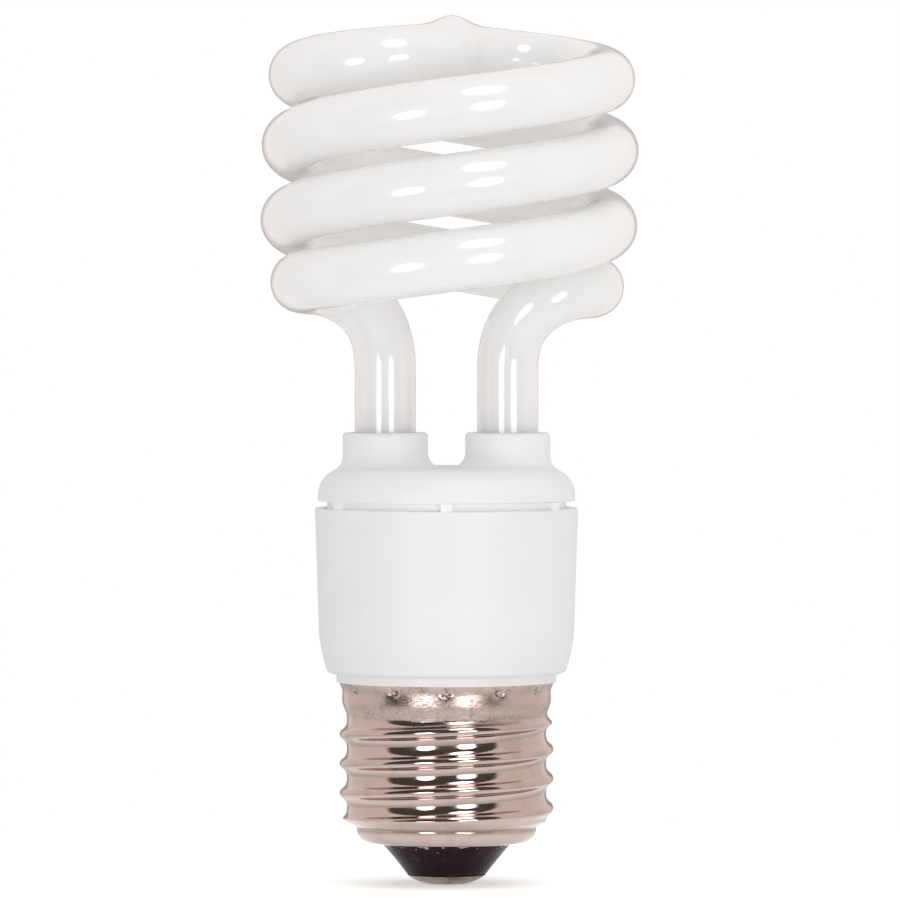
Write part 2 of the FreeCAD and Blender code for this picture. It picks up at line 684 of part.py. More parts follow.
def housing():
    """Cup with a neck that plugs into the shell, ledges for the board and a groove for the cover's snap."""
    body = new_body("housing")
    collar_in = "(shell_collar_d / 2 - shell_wall - fit_gap)"
    groove_top = f"({MOUTH_Z} - snap_drop + snap_width / 2 + fit_gap)"
    groove_low = f"({MOUTH_Z} - snap_drop - snap_width / 2 - fit_gap)"
    knee_in = "(housing_knee_d / 2 - housing_wall)"
    foot_in = "(housing_foot_d / 2 - housing_wall)"
    turned(body, "cup", [
        (NECK_R, f"{THREAD_Z} + thread_fade + fit_gap"),
        (NECK_R, f"{COLLAR_Z} - thread_fade / 2 + fit_gap"),
        (collar_in, f"{COLLAR_Z} + fit_gap"),
        (collar_in, RING_Z),
        ("neck_ring_d / 2", RING_Z),
        ("neck_ring_d / 2", HOUSING_Z),
        ("housing_foot_d / 2 - housing_corner", HOUSING_Z, "housing_corner", 1),
        ("housing_foot_d / 2", f"{HOUSING_Z} + housing_corner", "housing_knee_round", 1),
        ("housing_knee_d / 2", KNEE_Z),
        ("housing_rim_d / 2", f"{MOUTH_Z} - edge_round", "edge_round", 1),
        ("housing_rim_d / 2 - edge_round", MOUTH_Z),
        (MOUTH_R, MOUTH_Z),
        (f"{MOUTH_R} - ({MOUTH_Z} - {groove_top}) * {TAPER}", groove_top),
        (f"{MOUTH_R} + snap_depth", groove_top),
        (f"{MOUTH_R} + snap_depth", groove_low),
        (f"{MOUTH_R} - ({MOUTH_Z} - {groove_low}) * {TAPER}", groove_low),
        (knee_in, KNEE_Z, "housing_knee_round - housing_wall", -1),
        (foot_in, FLOOR_Z),
        (NECK_BORE_R, FLOOR_Z),
        (NECK_BORE_R, f"{THREAD_Z} + thread_fade + fit_gap"),
    ])
    ledge = new_sketch(body, "ledge_outline")
    draw_outline(ledge, [
        (LEDGE_R, f"{FLOOR_Z} - housing_wall / 2"),
        (f"{foot_in} + housing_wall / 3", f"{FLOOR_Z} - housing_wall / 2"),
        (f"{knee_in} + housing_wall / 2", KNEE_Z),
        (f"{MOUTH_R} - board_depth * {TAPER} + housing_wall / 2", BOARD_Z),
        (LEDGE_R, BOARD_Z),
    ])
    pad = body.newObject("PartDesign::Pad", "ledge")
    pad.Profile = ledge
    pad.SideType = "Symmetric"
    bind(pad, Length="ledge_thick")
    doc.recompute()
    polar_pattern(body, pad, "ledge_count")


def top_cover():
    """Domed cover with a skirt, two leg collars and the spacer ribs of the vent slot."""
    body = new_body("top_cover")
    skirt_in = f"({SKIRT_R} - cover_wall)"
    bead_top = f"({MOUTH_Z} - snap_drop + snap_width / 2)"
    bead_low = f"({MOUTH_Z} - snap_drop - snap_width / 2)"
    turned(body, "dome", [
        ("0", f"{BOARD_TOP_Z} + fit_gap"),
        (SKIRT_R, f"{BOARD_TOP_Z} + fit_gap"),
        (SKIRT_R, bead_low),
        (f"{MOUTH_R} - fit_gap / 2 + snap_depth / 2", f"({bead_low} + {bead_top}) / 2"),
        (SKIRT_R, bead_top),
        (SKIRT_R, EDGE_Z),
        ("cover_d / 2 - edge_round", EDGE_Z, "edge_round", 1),
        ("cover_d / 2", f"{EDGE_Z} + edge_round"),
        ("cover_d / 2", f"{ROOF_Z} - cover_shoulder", "cover_shoulder", 1),
        ("cover_d / 2 - cover_shoulder", ROOF_Z),
        ("0", ROOF_Z),
    ])
    sketch = new_sketch(body, "collar_outline", "XY_Plane", f"{ROOF_Z} - cover_wall")
    draw_circle(sketch, "leg_x", "collar_d / 2")
    draw_circle(sketch, "leg_x", "collar_d / 2", mirrored=True)
    collars = body.newObject("PartDesign::Pad", "leg_collars")
    collars.Profile = sketch
    bind(collars, Length="cover_wall + collar_rise")
    doc.recompute()
    lip_z = number(LIP_Z)
    foot = rounded(body, "collar_foot", collars,
                   lambda edge: on_collar(edge) and edge.CenterOfMass.z < lip_z - 1e-3,
                   f"min(collar_foot_round; {COLLAR_GAP_SHARE} * (leg_x - collar_d / 2))")
    rounded(body, "collar_lip", foot, lambda edge: on_collar(edge) and edge.BoundBox.ZMin > lip_z - 1e-3,
            "collar_lip_round")
    turned(body, "cavity", [
        ("0", BOARD_Z),
        (skirt_in, BOARD_Z),
        (skirt_in, CEILING_Z),
        ("0", CEILING_Z),
    ], "PartDesign::Groove")
    bores = new_sketch(body, "leg_bore_outline", "XY_Plane", f"{LIP_Z} + cover_wall")
    draw_circle(bores, "leg_x", "tube_d / 2 + fit_gap")
    draw_circle(bores, "leg_x", "tube_d / 2 + fit_gap", mirrored=True)
    pocket = body.newObject("PartDesign::Pocket", "leg_bores")
    pocket.Profile = bores
    bind(pocket, Length="2 * cover_wall + collar_rise + fit_gap")
    doc.recompute()
    rib = new_sketch(body, "rib_outline", "YZ_Plane")
    draw_outline(rib, [
        (f"{SKIRT_R} - cover_wall / 2", MOUTH_Z),
        (f"{SKIRT_R} + rib_reach", MOUTH_Z),
        (f"{SKIRT_R} + rib_reach", f"{EDGE_Z} + cover_wall / 2"),
        (f"{SKIRT_R} - cover_wall / 2", f"{EDGE_Z} + cover_wall / 2"),
    ])
    pad = body.newObject("PartDesign::Pad", "rib")
    pad.Profile = rib
    pad.SideType = "Symmetric"
    bind(pad, Length="rib_across")
    doc.recompute()
    polar_pattern(body, pad, "rib_count")


def on_collar(edge):
    """True for an edge on the outside of a leg collar."""
    radius = number("collar_d / 2")
    leg_x = number("leg_x")
    spots = edge.discretize(5)
    return all(abs(math.hypot(abs(spot.x) - leg_x, spot.y) - radius) < 1e-3 for spot in spots)


# Ballast on the board


def circuit_board():
    """Round board on the housing's ledges."""
    keep(cylinder("circuit_board", BOARD_R, "board_thick", z=BOARD_Z), "circuit_board")


def filament_parts():
    """Wrap pins on the board and the tube's leads down to them."""
    pins, leads = [], []
    for side in (-1, 1):
        for row in (-1, 1):
            x, y = f"{side} * leg_x", f"{row} * filament_spread / 2"
            pins.append(box("pin", "pin_across", "pin_across", "pin_rise", x, y, BOARD_TOP_Z))
            foot = f"({BOARD_TOP_Z} + pin_rise)"
            leads.append(cylinder("lead", "filament_wire_d / 2", f"{LEG_FOOT_Z} - {foot}", x, y, foot))
    keep(joined("board_pins", pins), "board_pins")
    keep(joined("filament_leads", leads), "filament_leads")


def smoothing_capacitor():
    """Can of the smoothing capacitor, with the groove that seals it."""
    bottom = f"({BOARD_Z} - smoother_tall)"
    can = cylinder("can", "smoother_d / 2", "smoother_tall", z=bottom)
    groove = doc.addObject("Part::Torus", "can_groove")
    bind(groove, Radius1="smoother_d / 2 + smoother_bead", Radius2="2 * smoother_bead")
    place(groove, z=f"{BOARD_Z} - 4 * smoother_bead")
    keep(less("smoothing_capacitor", can, groove), "smoothing_capacitor")


def choke():
    """Choke: a core with two windows, a bobbin in them and its winding."""
    y = f"({PARTS_R} - bobbin_depth / 2 - part_gap)"
    bottom = f"({BOARD_Z} - choke_tall)"
    window_z = f"({bottom} + choke_limb)"
    window_wide = "((choke_wide - 2 * choke_limb - choke_middle) / 2)"
    window_tall = "(choke_tall - 2 * choke_limb)"
    block = box("core_block", "choke_wide", "choke_thick", "choke_tall", "0", y, bottom)
    windows = []
    for side in (-1, 1):
        x = f"{side} * (choke_middle + {window_wide}) / 2"
        windows.append(box("window", window_wide, "choke_thick", window_tall, x, y, window_z))
    keep(less("choke_core", block, joined("windows", windows)), "choke_core")
    flange_wide = "(choke_wide - 2 * choke_limb - fit_gap)"
    hole_wide, hole_deep = "(choke_middle + fit_gap)", "(choke_thick + fit_gap)"
    barrel_wide, barrel_deep = f"({hole_wide} + 2 * bobbin_wall)", f"({hole_deep} + 2 * bobbin_wall)"
    pieces = [box("barrel", barrel_wide, barrel_deep, window_tall, "0", y, window_z)]
    for flange_z in (window_z, f"{window_z} + {window_tall} - bobbin_flange"):
        pieces.append(box("flange", flange_wide, "bobbin_depth", "bobbin_flange", "0", y, flange_z))
    hole = box("limb_hole", hole_wide, hole_deep, window_tall, "0", y, window_z)
    keep(less("choke_bobbin", joined("bobbin_block", pieces), hole), "choke_bobbin")
    wound_tall, wound_z = f"({window_tall} - 2 * bobbin_flange)", f"({window_z} + bobbin_flange)"
    wound = box("wound", f"{flange_wide} - 2 * winding_sink", "bobbin_depth - 2 * winding_sink", wound_tall,
                "0", y, wound_z)
    core = box("wound_core", barrel_wide, barrel_deep, wound_tall, "0", y, wound_z)
    keep(less("choke_winding", wound, core), "choke_winding")


def toroid():
    """Drive transformer: a ferrite ring flat under the board and three windings through it."""
    x, y = around(f"{PARTS_R} - toroid_d / 2 - part_gap", "toroid_angle")
    ring_z = f"({BOARD_Z} - toroid_wire_d - toroid_tall)"
    ring = cylinder("ring", "toroid_d / 2", "toroid_tall", x, y, ring_z)
    bore = cylinder("ring_bore", "toroid_bore / 2", "toroid_tall", x, y, ring_z)
    keep(less("toroid_core", ring, bore), "toroid_core")
    turns = []
    for step in range(3):
        turns.append(toroid_turn(x, y, ring_z, f"(toroid_angle + {step * 120})"))
    keep(joined("toroid_windings", turns), "toroid_windings")


def toroid_turn(x, y, ring_z, angle):
    """One flat winding: a frame of wire round the ring's section, square to the ring."""
    section = "((toroid_d - toroid_bore) / 2)"
    outer = doc.addObject("Part::Box", "turn_outer")
    inner = doc.addObject("Part::Box", "turn_inner")
    centre = "((toroid_d + toroid_bore) / 4)"
    for frame, grow in ((outer, "toroid_wire_d"), (inner, "fit_gap / 2")):
        long = f"({section} + 2 * {grow})"
        bind(frame, Length=long, Width="toroid_wire_d", Height=f"toroid_tall + 2 * {grow}")
        out_x, out_y = around(f"{centre} - {long} / 2", angle)
        side_x, side_y = around("toroid_wire_d / 2", f"{angle} + 90")
        place(frame, f"{x} + {out_x} - {side_x}", f"{y} + {out_y} - {side_y}", f"{ring_z} - {grow}")
        turn_to(frame, angle)
    return less("turn", outer, inner)


def transistors():
    """Two transistors with a flat face and three leads each."""
    for index, angle in enumerate(TRANSISTOR_ANGLES, start=1):
        x, y = around(f"{PARTS_R} - transistor_d / 2", angle)
        top = f"({BOARD_Z} - transistor_stand)"
        case = cylinder("case", "transistor_d / 2", "transistor_tall", x, y, f"{top} - transistor_tall")
        depth = "(transistor_d / 2)"
        spare = doc.addObject("Part::Box", "case_flat")
        bind(spare, Length=depth, Width="transistor_d", Height="transistor_tall")
        cut_x, cut_y = around("transistor_flat", angle)
        side_x, side_y = around("transistor_d / 2", angle + 90)
        place(spare, f"{x} - {cut_x} - {depth} * cos({angle} * 1deg) - {side_x}",
              f"{y} - {cut_y} - {depth} * sin({angle} * 1deg) - {side_y}", f"{top} - transistor_tall")
        turn_to(spare, angle)
        pieces = [less("flat_case", case, spare)]
        for row in (-1, 0, 1):
            lead_x, lead_y = around(f"{row} * transistor_d / 4", angle + 90)
            pieces.append(cylinder("case_lead", "pigtail_d / 2", "transistor_stand", f"{x} + {lead_x}",
                                   f"{y} + {lead_y}", top))
        keep(joined(f"transistor_{index}", pieces), f"transistor_{index}")


def standing_part(name, diameter, tall, x, y):
    """Small round part that stands off the board on one lead."""
    top = f"({BOARD_Z} - pigtail_tall)"
    case = cylinder(f"{name}_case", f"{diameter} / 2", tall, x, y, f"{top} - {tall}")
    lead = cylinder(f"{name}_lead", "pigtail_d / 2", "pigtail_tall", x, y, top)
    return joined(name, [case, lead])


def small_parts():
    """Rectifier diodes, trigger diode and start resistors round the board's edge."""
    diodes = []
    for step in range(4):
        x, y = around(f"{PARTS_R} - diode_d / 2", f"180 - {step} * diode_step")
        diodes.append(standing_part("diode", "diode_d", "diode_tall", x, y))
    group = doc.addObject("Part::Compound", "rectifier_diodes")
    group.Links = diodes
    keep(group, "rectifier_diodes")
    x, y = around(f"{PARTS_R} - trigger_d / 2", TRIGGER_ANGLE)
    keep(standing_part("trigger_diode", "trigger_d", "trigger_tall", x, y), "trigger_diode")
    x, y = around(f"{PARTS_R} - resistor_d / 2", EDGE_RESISTOR_ANGLE)
    keep(standing_part("start_resistor_1", "resistor_d", "resistor_tall", x, y), "start_resistor_1")
    x, y = around("(smoother_d + resistor_d) / 2 + 2 * part_gap", INNER_RESISTOR_ANGLE)
    keep(standing_part("start_resistor_2", "resistor_d", "resistor_tall", x, y), "start_resistor_2")


def film_capacitor(label, angle):
    """Flat capacitor set square to the board's edge."""
    x, y = around(f"{PARTS_R} - film_thick - part_gap", angle)
    side_x, side_y = around("film_wide / 2", angle + 90)
    case = doc.addObject("Part::Box", f"{label}_case")
    bind(case, Length="film_thick", Width="film_wide", Height="film_tall")
    place(case, f"{x} - {side_x}", f"{y} - {side_y}", f"{BOARD_Z} - film_tall")
    turn_to(case, angle)
    doc.recompute()
    soft = doc.addObject("Part::Fillet", label)
    soft.Base = case
    radius = number("film_thick") / 4
    soft.Edges = [(n, radius, radius) for n in range(1, len(case.Shape.Edges) + 1)]
    keep(soft, label)


# Leads of the cap


def bent_wire(points, radius, bend):
    """Round wire along straight runs joined by tangent arcs."""
    edges = []
    start = points[0]
    for corner, after in zip(points[1:], points[2:]):
        into = (corner - start).normalize()
        out = (after - corner).normalize()
        setback = bend * math.tan(into.getAngle(out) / 2)
        first, last = corner - into * setback, corner + out * setback
        edges.append(Part.LineSegment(start, first).toShape())
        edges.append(arc_edge(first, into, last))
        start = last
    edges.append(Part.LineSegment(start, points[-1]).toShape())
    path = Part.Wire(edges)
    heading = (points[1] - points[0]).normalize()
    section = Part.Wire(Part.makeCircle(radius, points[0], heading))
    wire = path.makePipeShell([section], True, False)
    if abs(wire.Volume / (math.pi * radius**2 * path.Length) - 1) > 0.01:
        raise RuntimeError("wire volume")
    return wire


def lane(angle, z):
    """Spot on the leads' lane beside the capacitor, at an angle in degrees."""
    reach = number("wire_lane")
    about = math.radians(angle)
    return Vector(reach * math.cos(about), reach * math.sin(about), z)


def cap_leads():
    """Fuse resistor on the axis, the phase lead through it and the neutral lead from the shell."""
    radius, bend = number("wire_d") / 2, number("wire_bend")
    board_z = number(BOARD_Z)
    fuse_top = f"({RING_Z} - fuse_drop)"
    fuse_low = f"({fuse_top} - fuse_tall)"
    keep(cylinder("fuse_resistor", "fuse_d / 2", "fuse_tall", z=fuse_low), "fuse_resistor")
    stem = Vector(0, 0, number("contact_rise"))
    lower = Part.makeCylinder(radius, number(fuse_low) - stem.z, stem)
    turn_z = number(f"{fuse_top} + wire_bend")
    points = [
        Vector(0, 0, number(fuse_top)),
        Vector(0, 0, turn_z),
        lane(PHASE_ANGLE, turn_z + bend),
        lane(PHASE_ANGLE, board_z),
    ]
    upper = bent_wire(points, radius, bend / 2)
    shaped("phase_lead", Part.makeCompound([lower, upper]))
    shell_x = -number("shell_foot_d / 2 - shell_wall - fit_gap / 2")
    low_z = number(f"{THREAD_Z} + shell_wall - wire_d / 2")
    riser_x = -min(number(f"{NECK_BORE_R} - wire_d"), number("shell_foot_d / 2 - shell_wall - wire_bend / 2"))
    points = [
        Vector(shell_x, 0, low_z),
        Vector(riser_x, 0, low_z),
        Vector(riser_x, 0, turn_z - bend),
        lane(NEUTRAL_ANGLE, turn_z + bend),
        lane(NEUTRAL_ANGLE, board_z),
    ]
    shaped("neutral_lead", bent_wire(points, radius, bend / 4))


def build():
    """Make every sub-part."""
    fill_sheet()
    spiral_tube()
    tube_cement()
    top_cover()
    housing()
    screw_shell()
    insulator()
    centre_contact()
    circuit_board()
    filament_parts()
    smoothing_capacitor()
    choke()
    toroid()
    transistors()
    small_parts()
    film_capacitor("coupling_capacitor", COUPLING_ANGLE)
    film_capacitor("resonance_capacitor", RESONANCE_ANGLE)
    cap_leads()
    doc.recompute()


def check():
    """Stop if an object failed or a sub-part has no sound shape."""
    failed = [item.Label for item in doc.Objects if "Invalid" in item.State or "Error" in item.State]
    for item in subparts:
        if item.Shape.isNull() or not item.Shape.isValid() or not item.Shape.Solids:
            failed.append(item.Label)
    if failed:
        raise RuntimeError("failed: " + ", ".join(failed))


def write():
    """Write each sub-part to a file named by its label."""
    os.makedirs("parts", exist_ok=True)
    for item in subparts:
        item.Shape.exportStep(f"parts/{item.Label}.step")
        print(f"{item.Label}: {len(item.Shape.Solids)} solid, {item.Shape.Volume:.1f} mm3")


build()
check()
write()
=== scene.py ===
"""Spiral energy saving lamp: its glass, plastic and metal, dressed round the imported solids.

Lengths of the lamp are millimetres and become metres where a mesh is made. Those of the studio are metres.
The lamp stands on its centre contact, +Z runs up the cap's axis and the front of the lamp faces -Y.
"""

import logging
import math
from dataclasses import dataclass
from enum import Enum
from typing import Any, Callable, Optional

import bmesh
import bpy
from mathutils import Matrix, Vector

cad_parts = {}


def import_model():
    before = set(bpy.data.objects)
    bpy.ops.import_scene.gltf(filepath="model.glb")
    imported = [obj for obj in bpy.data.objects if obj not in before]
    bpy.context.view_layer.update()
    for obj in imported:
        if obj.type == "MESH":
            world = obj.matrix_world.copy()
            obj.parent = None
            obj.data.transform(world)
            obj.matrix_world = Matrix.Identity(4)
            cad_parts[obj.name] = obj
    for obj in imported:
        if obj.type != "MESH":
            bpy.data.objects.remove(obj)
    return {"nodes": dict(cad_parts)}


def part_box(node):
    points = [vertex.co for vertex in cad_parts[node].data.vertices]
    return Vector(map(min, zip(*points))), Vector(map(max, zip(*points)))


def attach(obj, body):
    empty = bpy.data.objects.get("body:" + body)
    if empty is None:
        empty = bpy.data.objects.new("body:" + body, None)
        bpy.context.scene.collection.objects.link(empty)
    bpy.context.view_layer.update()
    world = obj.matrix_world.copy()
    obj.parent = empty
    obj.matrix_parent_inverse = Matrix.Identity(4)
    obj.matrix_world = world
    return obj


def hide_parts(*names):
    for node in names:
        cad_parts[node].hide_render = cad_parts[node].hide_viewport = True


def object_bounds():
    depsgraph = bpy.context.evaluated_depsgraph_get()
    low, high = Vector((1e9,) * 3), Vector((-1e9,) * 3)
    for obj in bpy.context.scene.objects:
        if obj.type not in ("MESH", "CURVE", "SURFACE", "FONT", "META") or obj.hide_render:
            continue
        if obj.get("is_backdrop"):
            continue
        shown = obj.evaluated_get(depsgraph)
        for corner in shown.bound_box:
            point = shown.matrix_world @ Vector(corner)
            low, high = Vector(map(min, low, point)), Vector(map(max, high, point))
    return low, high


LOG = logging.getLogger("spiral_lamp")
MM = 0.001
WELD_MM = 0.0005
BODY = "root"
SHADER = "Principled BSDF"
COLOUR = {"data_type": "RGBA"}
SMOOTH = {"interpolation_type": "SMOOTHSTEP"}
Ring = tuple[float, float]
Span = tuple[float, float]


class Slot(Enum):
    """Names of the record's material slots; the pieces here don't take their finish from them."""

    TUBE = "tube_glass"
    SHELL = "nickel"
    INSULATOR = "black_glass"
    CONTACT = "contact_metal"


# Shared helpers


def linear(code: str) -> tuple[float, float, float, float]:
    """Turn an sRGB hex colour into linear values.

    Args:
        code: six hex digits.

    Returns:
        Linear red, green, blue and an alpha of one.
    """
    parts = [int(code[start:start + 2], 16) / 255 for start in (0, 2, 4)]
    red, green, blue = (p / 12.92 if p <= 0.04045 else ((p + 0.055) / 1.055) ** 2.4 for p in parts)
    return red, green, blue, 1.0


def feed(tree: bpy.types.NodeTree, node: bpy.types.Node, sockets: dict[Any, Any]) -> None:
    """Set the inputs of a node, or link them.

    The inputs of a Mix node share their names, so they go by number: 0 is the share, 2 and 3 are the numbers,
    6 and 7 the colours that it mixes.

    Args:
        tree: node tree that holds the node.
        node: node to feed.
        sockets: input values by socket name or number, or the output that is linked to it.
    """
    for name, value in sockets.items():
        if isinstance(value, bpy.types.NodeSocket):
            tree.links.new(value, node.inputs[name])
        else:
            node.inputs[name].default_value = value


def add_node(tree: bpy.types.NodeTree, kind: str, sockets: Optional[dict[Any, Any]] = None,
             **settings: Any) -> bpy.types.NodeOutputs:
    """Add a node with its settings, values and links.

    Args:
        tree: node tree that gets the node.
        kind: class name of the node, after ShaderNode.
        sockets: what its inputs are fed with.
        settings: properties of the node.

    Returns:
        Outputs of the new node.
    """
    node = tree.nodes.new(f"ShaderNode{kind}")
    for name, value in settings.items():
        setattr(node, name, value)
    feed(tree, node, sockets or {})
    return node.outputs


def start_material(name: str) -> tuple[bpy.types.Material, bpy.types.NodeTree, bpy.types.NodeSocket]:
    """Start a node material.

    Args:
        name: what the material is.

    Returns:
        The material, its node tree and the Object coordinates that its patterns read.
    """
    made = bpy.data.materials.new(name)
    made.use_nodes = True
    tree = made.node_tree
    return made, tree, add_node(tree, "TexCoord")["Object"]


def grain(size_mm: float) -> float:
    """Texture scale at which one feature is about this many millimetres across."""
    return 1 / (size_mm * MM)


def smooth_step(share: float) -> float:
    """Ramp from 0 to 1 with level ends."""
    share = min(max(share, 0.0), 1.0)
    return share * share * (3 - 2 * share)


def hermite(share: float, start: float, slope: float, end: float) -> float:
    """Curve from a start with a slope to a level end."""
    two, three = share**2, share**3
    return start + (three - 2 * two + share) * slope + (3 * two - 2 * three) * (end - start)


def soft_min(first: float, second: float, width: float) -> float:
    """Smaller of two lengths, rounded off where they meet over a width."""
    share = max(width - abs(first - second), 0.0) / width
    return min(first, second) - share * share * width / 4


def soft_max(first: float, second: float, width: float) -> float:
    """Larger of two lengths, rounded off where they meet over a width."""
    return -soft_min(-first, -second, width)


def deselect() -> None:
    """Leave edit mode and select nothing."""
    if bpy.context.mode != "OBJECT":
        bpy.ops.object.mode_set(mode="OBJECT")
    bpy.ops.object.select_all(action="DESELECT")


def push_points(piece: bpy.types.Object, move: Callable[[Vector], Vector]) -> None:
    """Move every point of a mesh in edit mode.

    Args:
        piece: mesh to shape.
        move: gives the new place of a point, both in millimetres.
    """
    deselect()
    bpy.context.view_layer.objects.active = piece
    bpy.ops.object.mode_set(mode="EDIT")
    mesh = bmesh.from_edit_mesh(piece.data)
    for point in mesh.verts:
        point.co = move(point.co / MM) * MM
    mesh.normal_update()
    bmesh.update_edit_mesh(piece.data)
    bpy.ops.object.mode_set(mode="OBJECT")


def dress(piece: bpy.types.Object, node: str, finish: bpy.types.Material,
          crease: float) -> bpy.types.Object:
    """Give a new piece its shading, finish and place in the frame.

    Args:
        piece: finished mesh.
        node: solid that it stands for.
        finish: its material.
        crease: angle in degrees past which an edge stays sharp.

    Returns:
        The piece.
    """
    deselect()
    piece.select_set(True)
    bpy.context.view_layer.objects.active = piece
    bpy.ops.object.shade_smooth_by_angle(angle=math.radians(crease))
    piece.data.materials.clear()
    piece.data.materials.append(finish)
    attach(piece, BODY)
    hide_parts(node)
    LOG.info("%s: %d faces for %s", piece.name, len(piece.data.polygons), node)
    return piece


def paint(nodes: dict[str, bpy.types.Object], name: str, finish: bpy.types.Material) -> None:
    """Give a solid of the frame its finish.

    Args:
        nodes: solids of the frame by name.
        name: solid to paint.
        finish: its material.
    """
    nodes[name].data.materials.clear()
    nodes[name].data.materials.append(finish)
    LOG.info("%s: %s", name, finish.name)


class Outline:
    """Closed outline of a turned piece, drawn ring by ring as radius and height in millimetres."""

    def __init__(self, radius: float, height: float) -> None:
        """Start with one ring."""
        self.rings: list[Ring] = []
        self.add(radius, height)

    def add(self, radius: float, height: float) -> None:
        """Draw a ring."""
        self.rings.append((radius, height))
        self.at = (radius, height)

    def move(self, radius: float, height: float) -> None:
        """Count the next stretch from a ring that isn't drawn."""
        self.at = (radius, height)

    def straight(self, radius: float, height: float, steps: int = 1) -> None:
        """Draw rings along a straight stretch, without its first one.

        Args:
            radius: radius at its end.
            height: height at its end.
            steps: number of steps.
        """
        from_radius, from_height = self.at
        for share in [step / steps for step in range(1, steps + 1)]:
            grown, raised = (radius - from_radius) * share, (height - from_height) * share
            self.add(from_radius + grown, from_height + raised)

    def arc(self, centre: Ring, radius: float, angles: Span, steps: int) -> None:
        """Draw rings along an arc, without its first one.

        Args:
            centre: radius and height of the arc's centre.
            radius: radius of the arc.
            angles: first and last angle in degrees, 0 pointing away from the axis and 90 up.
            steps: number of steps.
        """
        start, end = angles
        for step in range(1, steps + 1):
            turn = math.radians(start + (end - start) * step / steps)
            self.add(centre[0] + radius * math.cos(turn), centre[1] + radius * math.sin(turn))

    def turn(self, name: str, segments: int) -> bpy.types.Object:
        """Model the turned wall: a circle is extruded from ring to ring, and back into the first one.

        Args:
            name: name of the piece.
            segments: points in each ring.

        Returns:
            The piece, with its faces outwards.
        """
        deselect()
        radius, height = self.rings[0]
        bpy.ops.mesh.primitive_circle_add(vertices=segments, radius=radius * MM, location=(0, 0, height * MM))
        piece = bpy.context.object
        piece.name = name
        bpy.ops.object.transform_apply(location=True, rotation=True, scale=True)
        bpy.ops.object.mode_set(mode="EDIT")
        bpy.ops.mesh.select_mode(type="EDGE")
        bpy.ops.mesh.select_all(action="SELECT")
        for next_radius, next_height in [*self.rings[1:], self.rings[0]]:
            rise = (next_height - height) * MM
            bpy.ops.mesh.extrude_region_move(TRANSFORM_OT_translate={"value": (0, 0, rise)})
            grow = next_radius / radius
            bpy.ops.transform.resize(value=(grow, grow, 1), center_override=(0, 0, next_height * MM))
            radius, height = next_radius, next_height
        bpy.ops.mesh.select_all(action="SELECT")
        bpy.ops.mesh.remove_doubles(threshold=WELD_MM * MM)
        bpy.ops.mesh.normals_make_consistent(inside=False)
        bpy.ops.object.mode_set(mode="OBJECT")
        return piece


# Finishes


@dataclass(frozen=True)
class PhosphorGlass:
    """Soda lime glass tube, drawn and bent hot, with a white phosphor powder baked on its inside.

    The eye sees a chalky, slightly warm white under a clear polished skin. The powder is thinner and greyer
    in the legs, where the tube was cut and sealed.
    """

    name: str = "phosphor_coated_glass"
    powder: str = "FBFAF9"
    thin_powder: str = "F0EEED"
    cloud: str = "F8F7F6"
    cloud_mm: float = 7.0
    cloud_low: float = 0.42
    cloud_high: float = 0.72
    grain_mm: float = 0.5
    smooth: float = 0.36
    dull: float = 0.46
    ripple: float = 0.1
    ripple_mm: float = 0.06
    legs_end_mm: float = 60.0
    coil_start_mm: float = 74.0
    glow_mm: float = 9.0

    def material(self) -> bpy.types.Material:
        """Build the node material.

        Returns:
            The material.
        """
        made, tree, place = start_material(self.name)
        height = add_node(tree, "SeparateXYZ", {0: place})["Z"]
        up = add_node(tree, "MapRange", {
            "Value": height, "From Min": self.legs_end_mm * MM, "From Max": self.coil_start_mm * MM,
        }, **SMOOTH)[0]
        cloud = add_node(tree, "TexNoise", {
            "Vector": place, "Scale": grain(self.cloud_mm), "Detail": 4.0, "Roughness": 0.55,
        })["Fac"]
        patch = add_node(tree, "MapRange", {
            "Value": cloud, "From Min": self.cloud_low, "From Max": self.cloud_high,
        }, **SMOOTH)[0]
        coil = add_node(tree, "Mix", {0: patch, 6: linear(self.powder), 7: linear(self.cloud)}, **COLOUR)[2]
        base = add_node(tree, "Mix", {0: up, 6: linear(self.thin_powder), 7: coil}, **COLOUR)[2]
        powder = add_node(tree, "TexNoise", {
            "Vector": place, "Scale": grain(self.grain_mm), "Detail": 3.0,
        })["Fac"]
        rough = add_node(tree, "MapRange", {"Value": powder, "To Min": self.smooth, "To Max": self.dull})[0]
        bump = add_node(tree, "Bump", {
            "Height": cloud, "Strength": self.ripple, "Distance": self.ripple_mm * MM,
        })["Normal"]
        feed(tree, tree.nodes[SHADER], {
            "Base Color": base, "Roughness": rough, "IOR": 1.45, "Specular IOR Level": 0.35,
            "Coat Weight": 1.0, "Coat Roughness": 0.008, "Coat IOR": 1.52, "Coat Normal": bump,
            "Subsurface Weight": 0.9, "Subsurface Radius": (1.0, 0.96, 0.92),
            "Subsurface Scale": self.glow_mm * MM,
        })
        return made


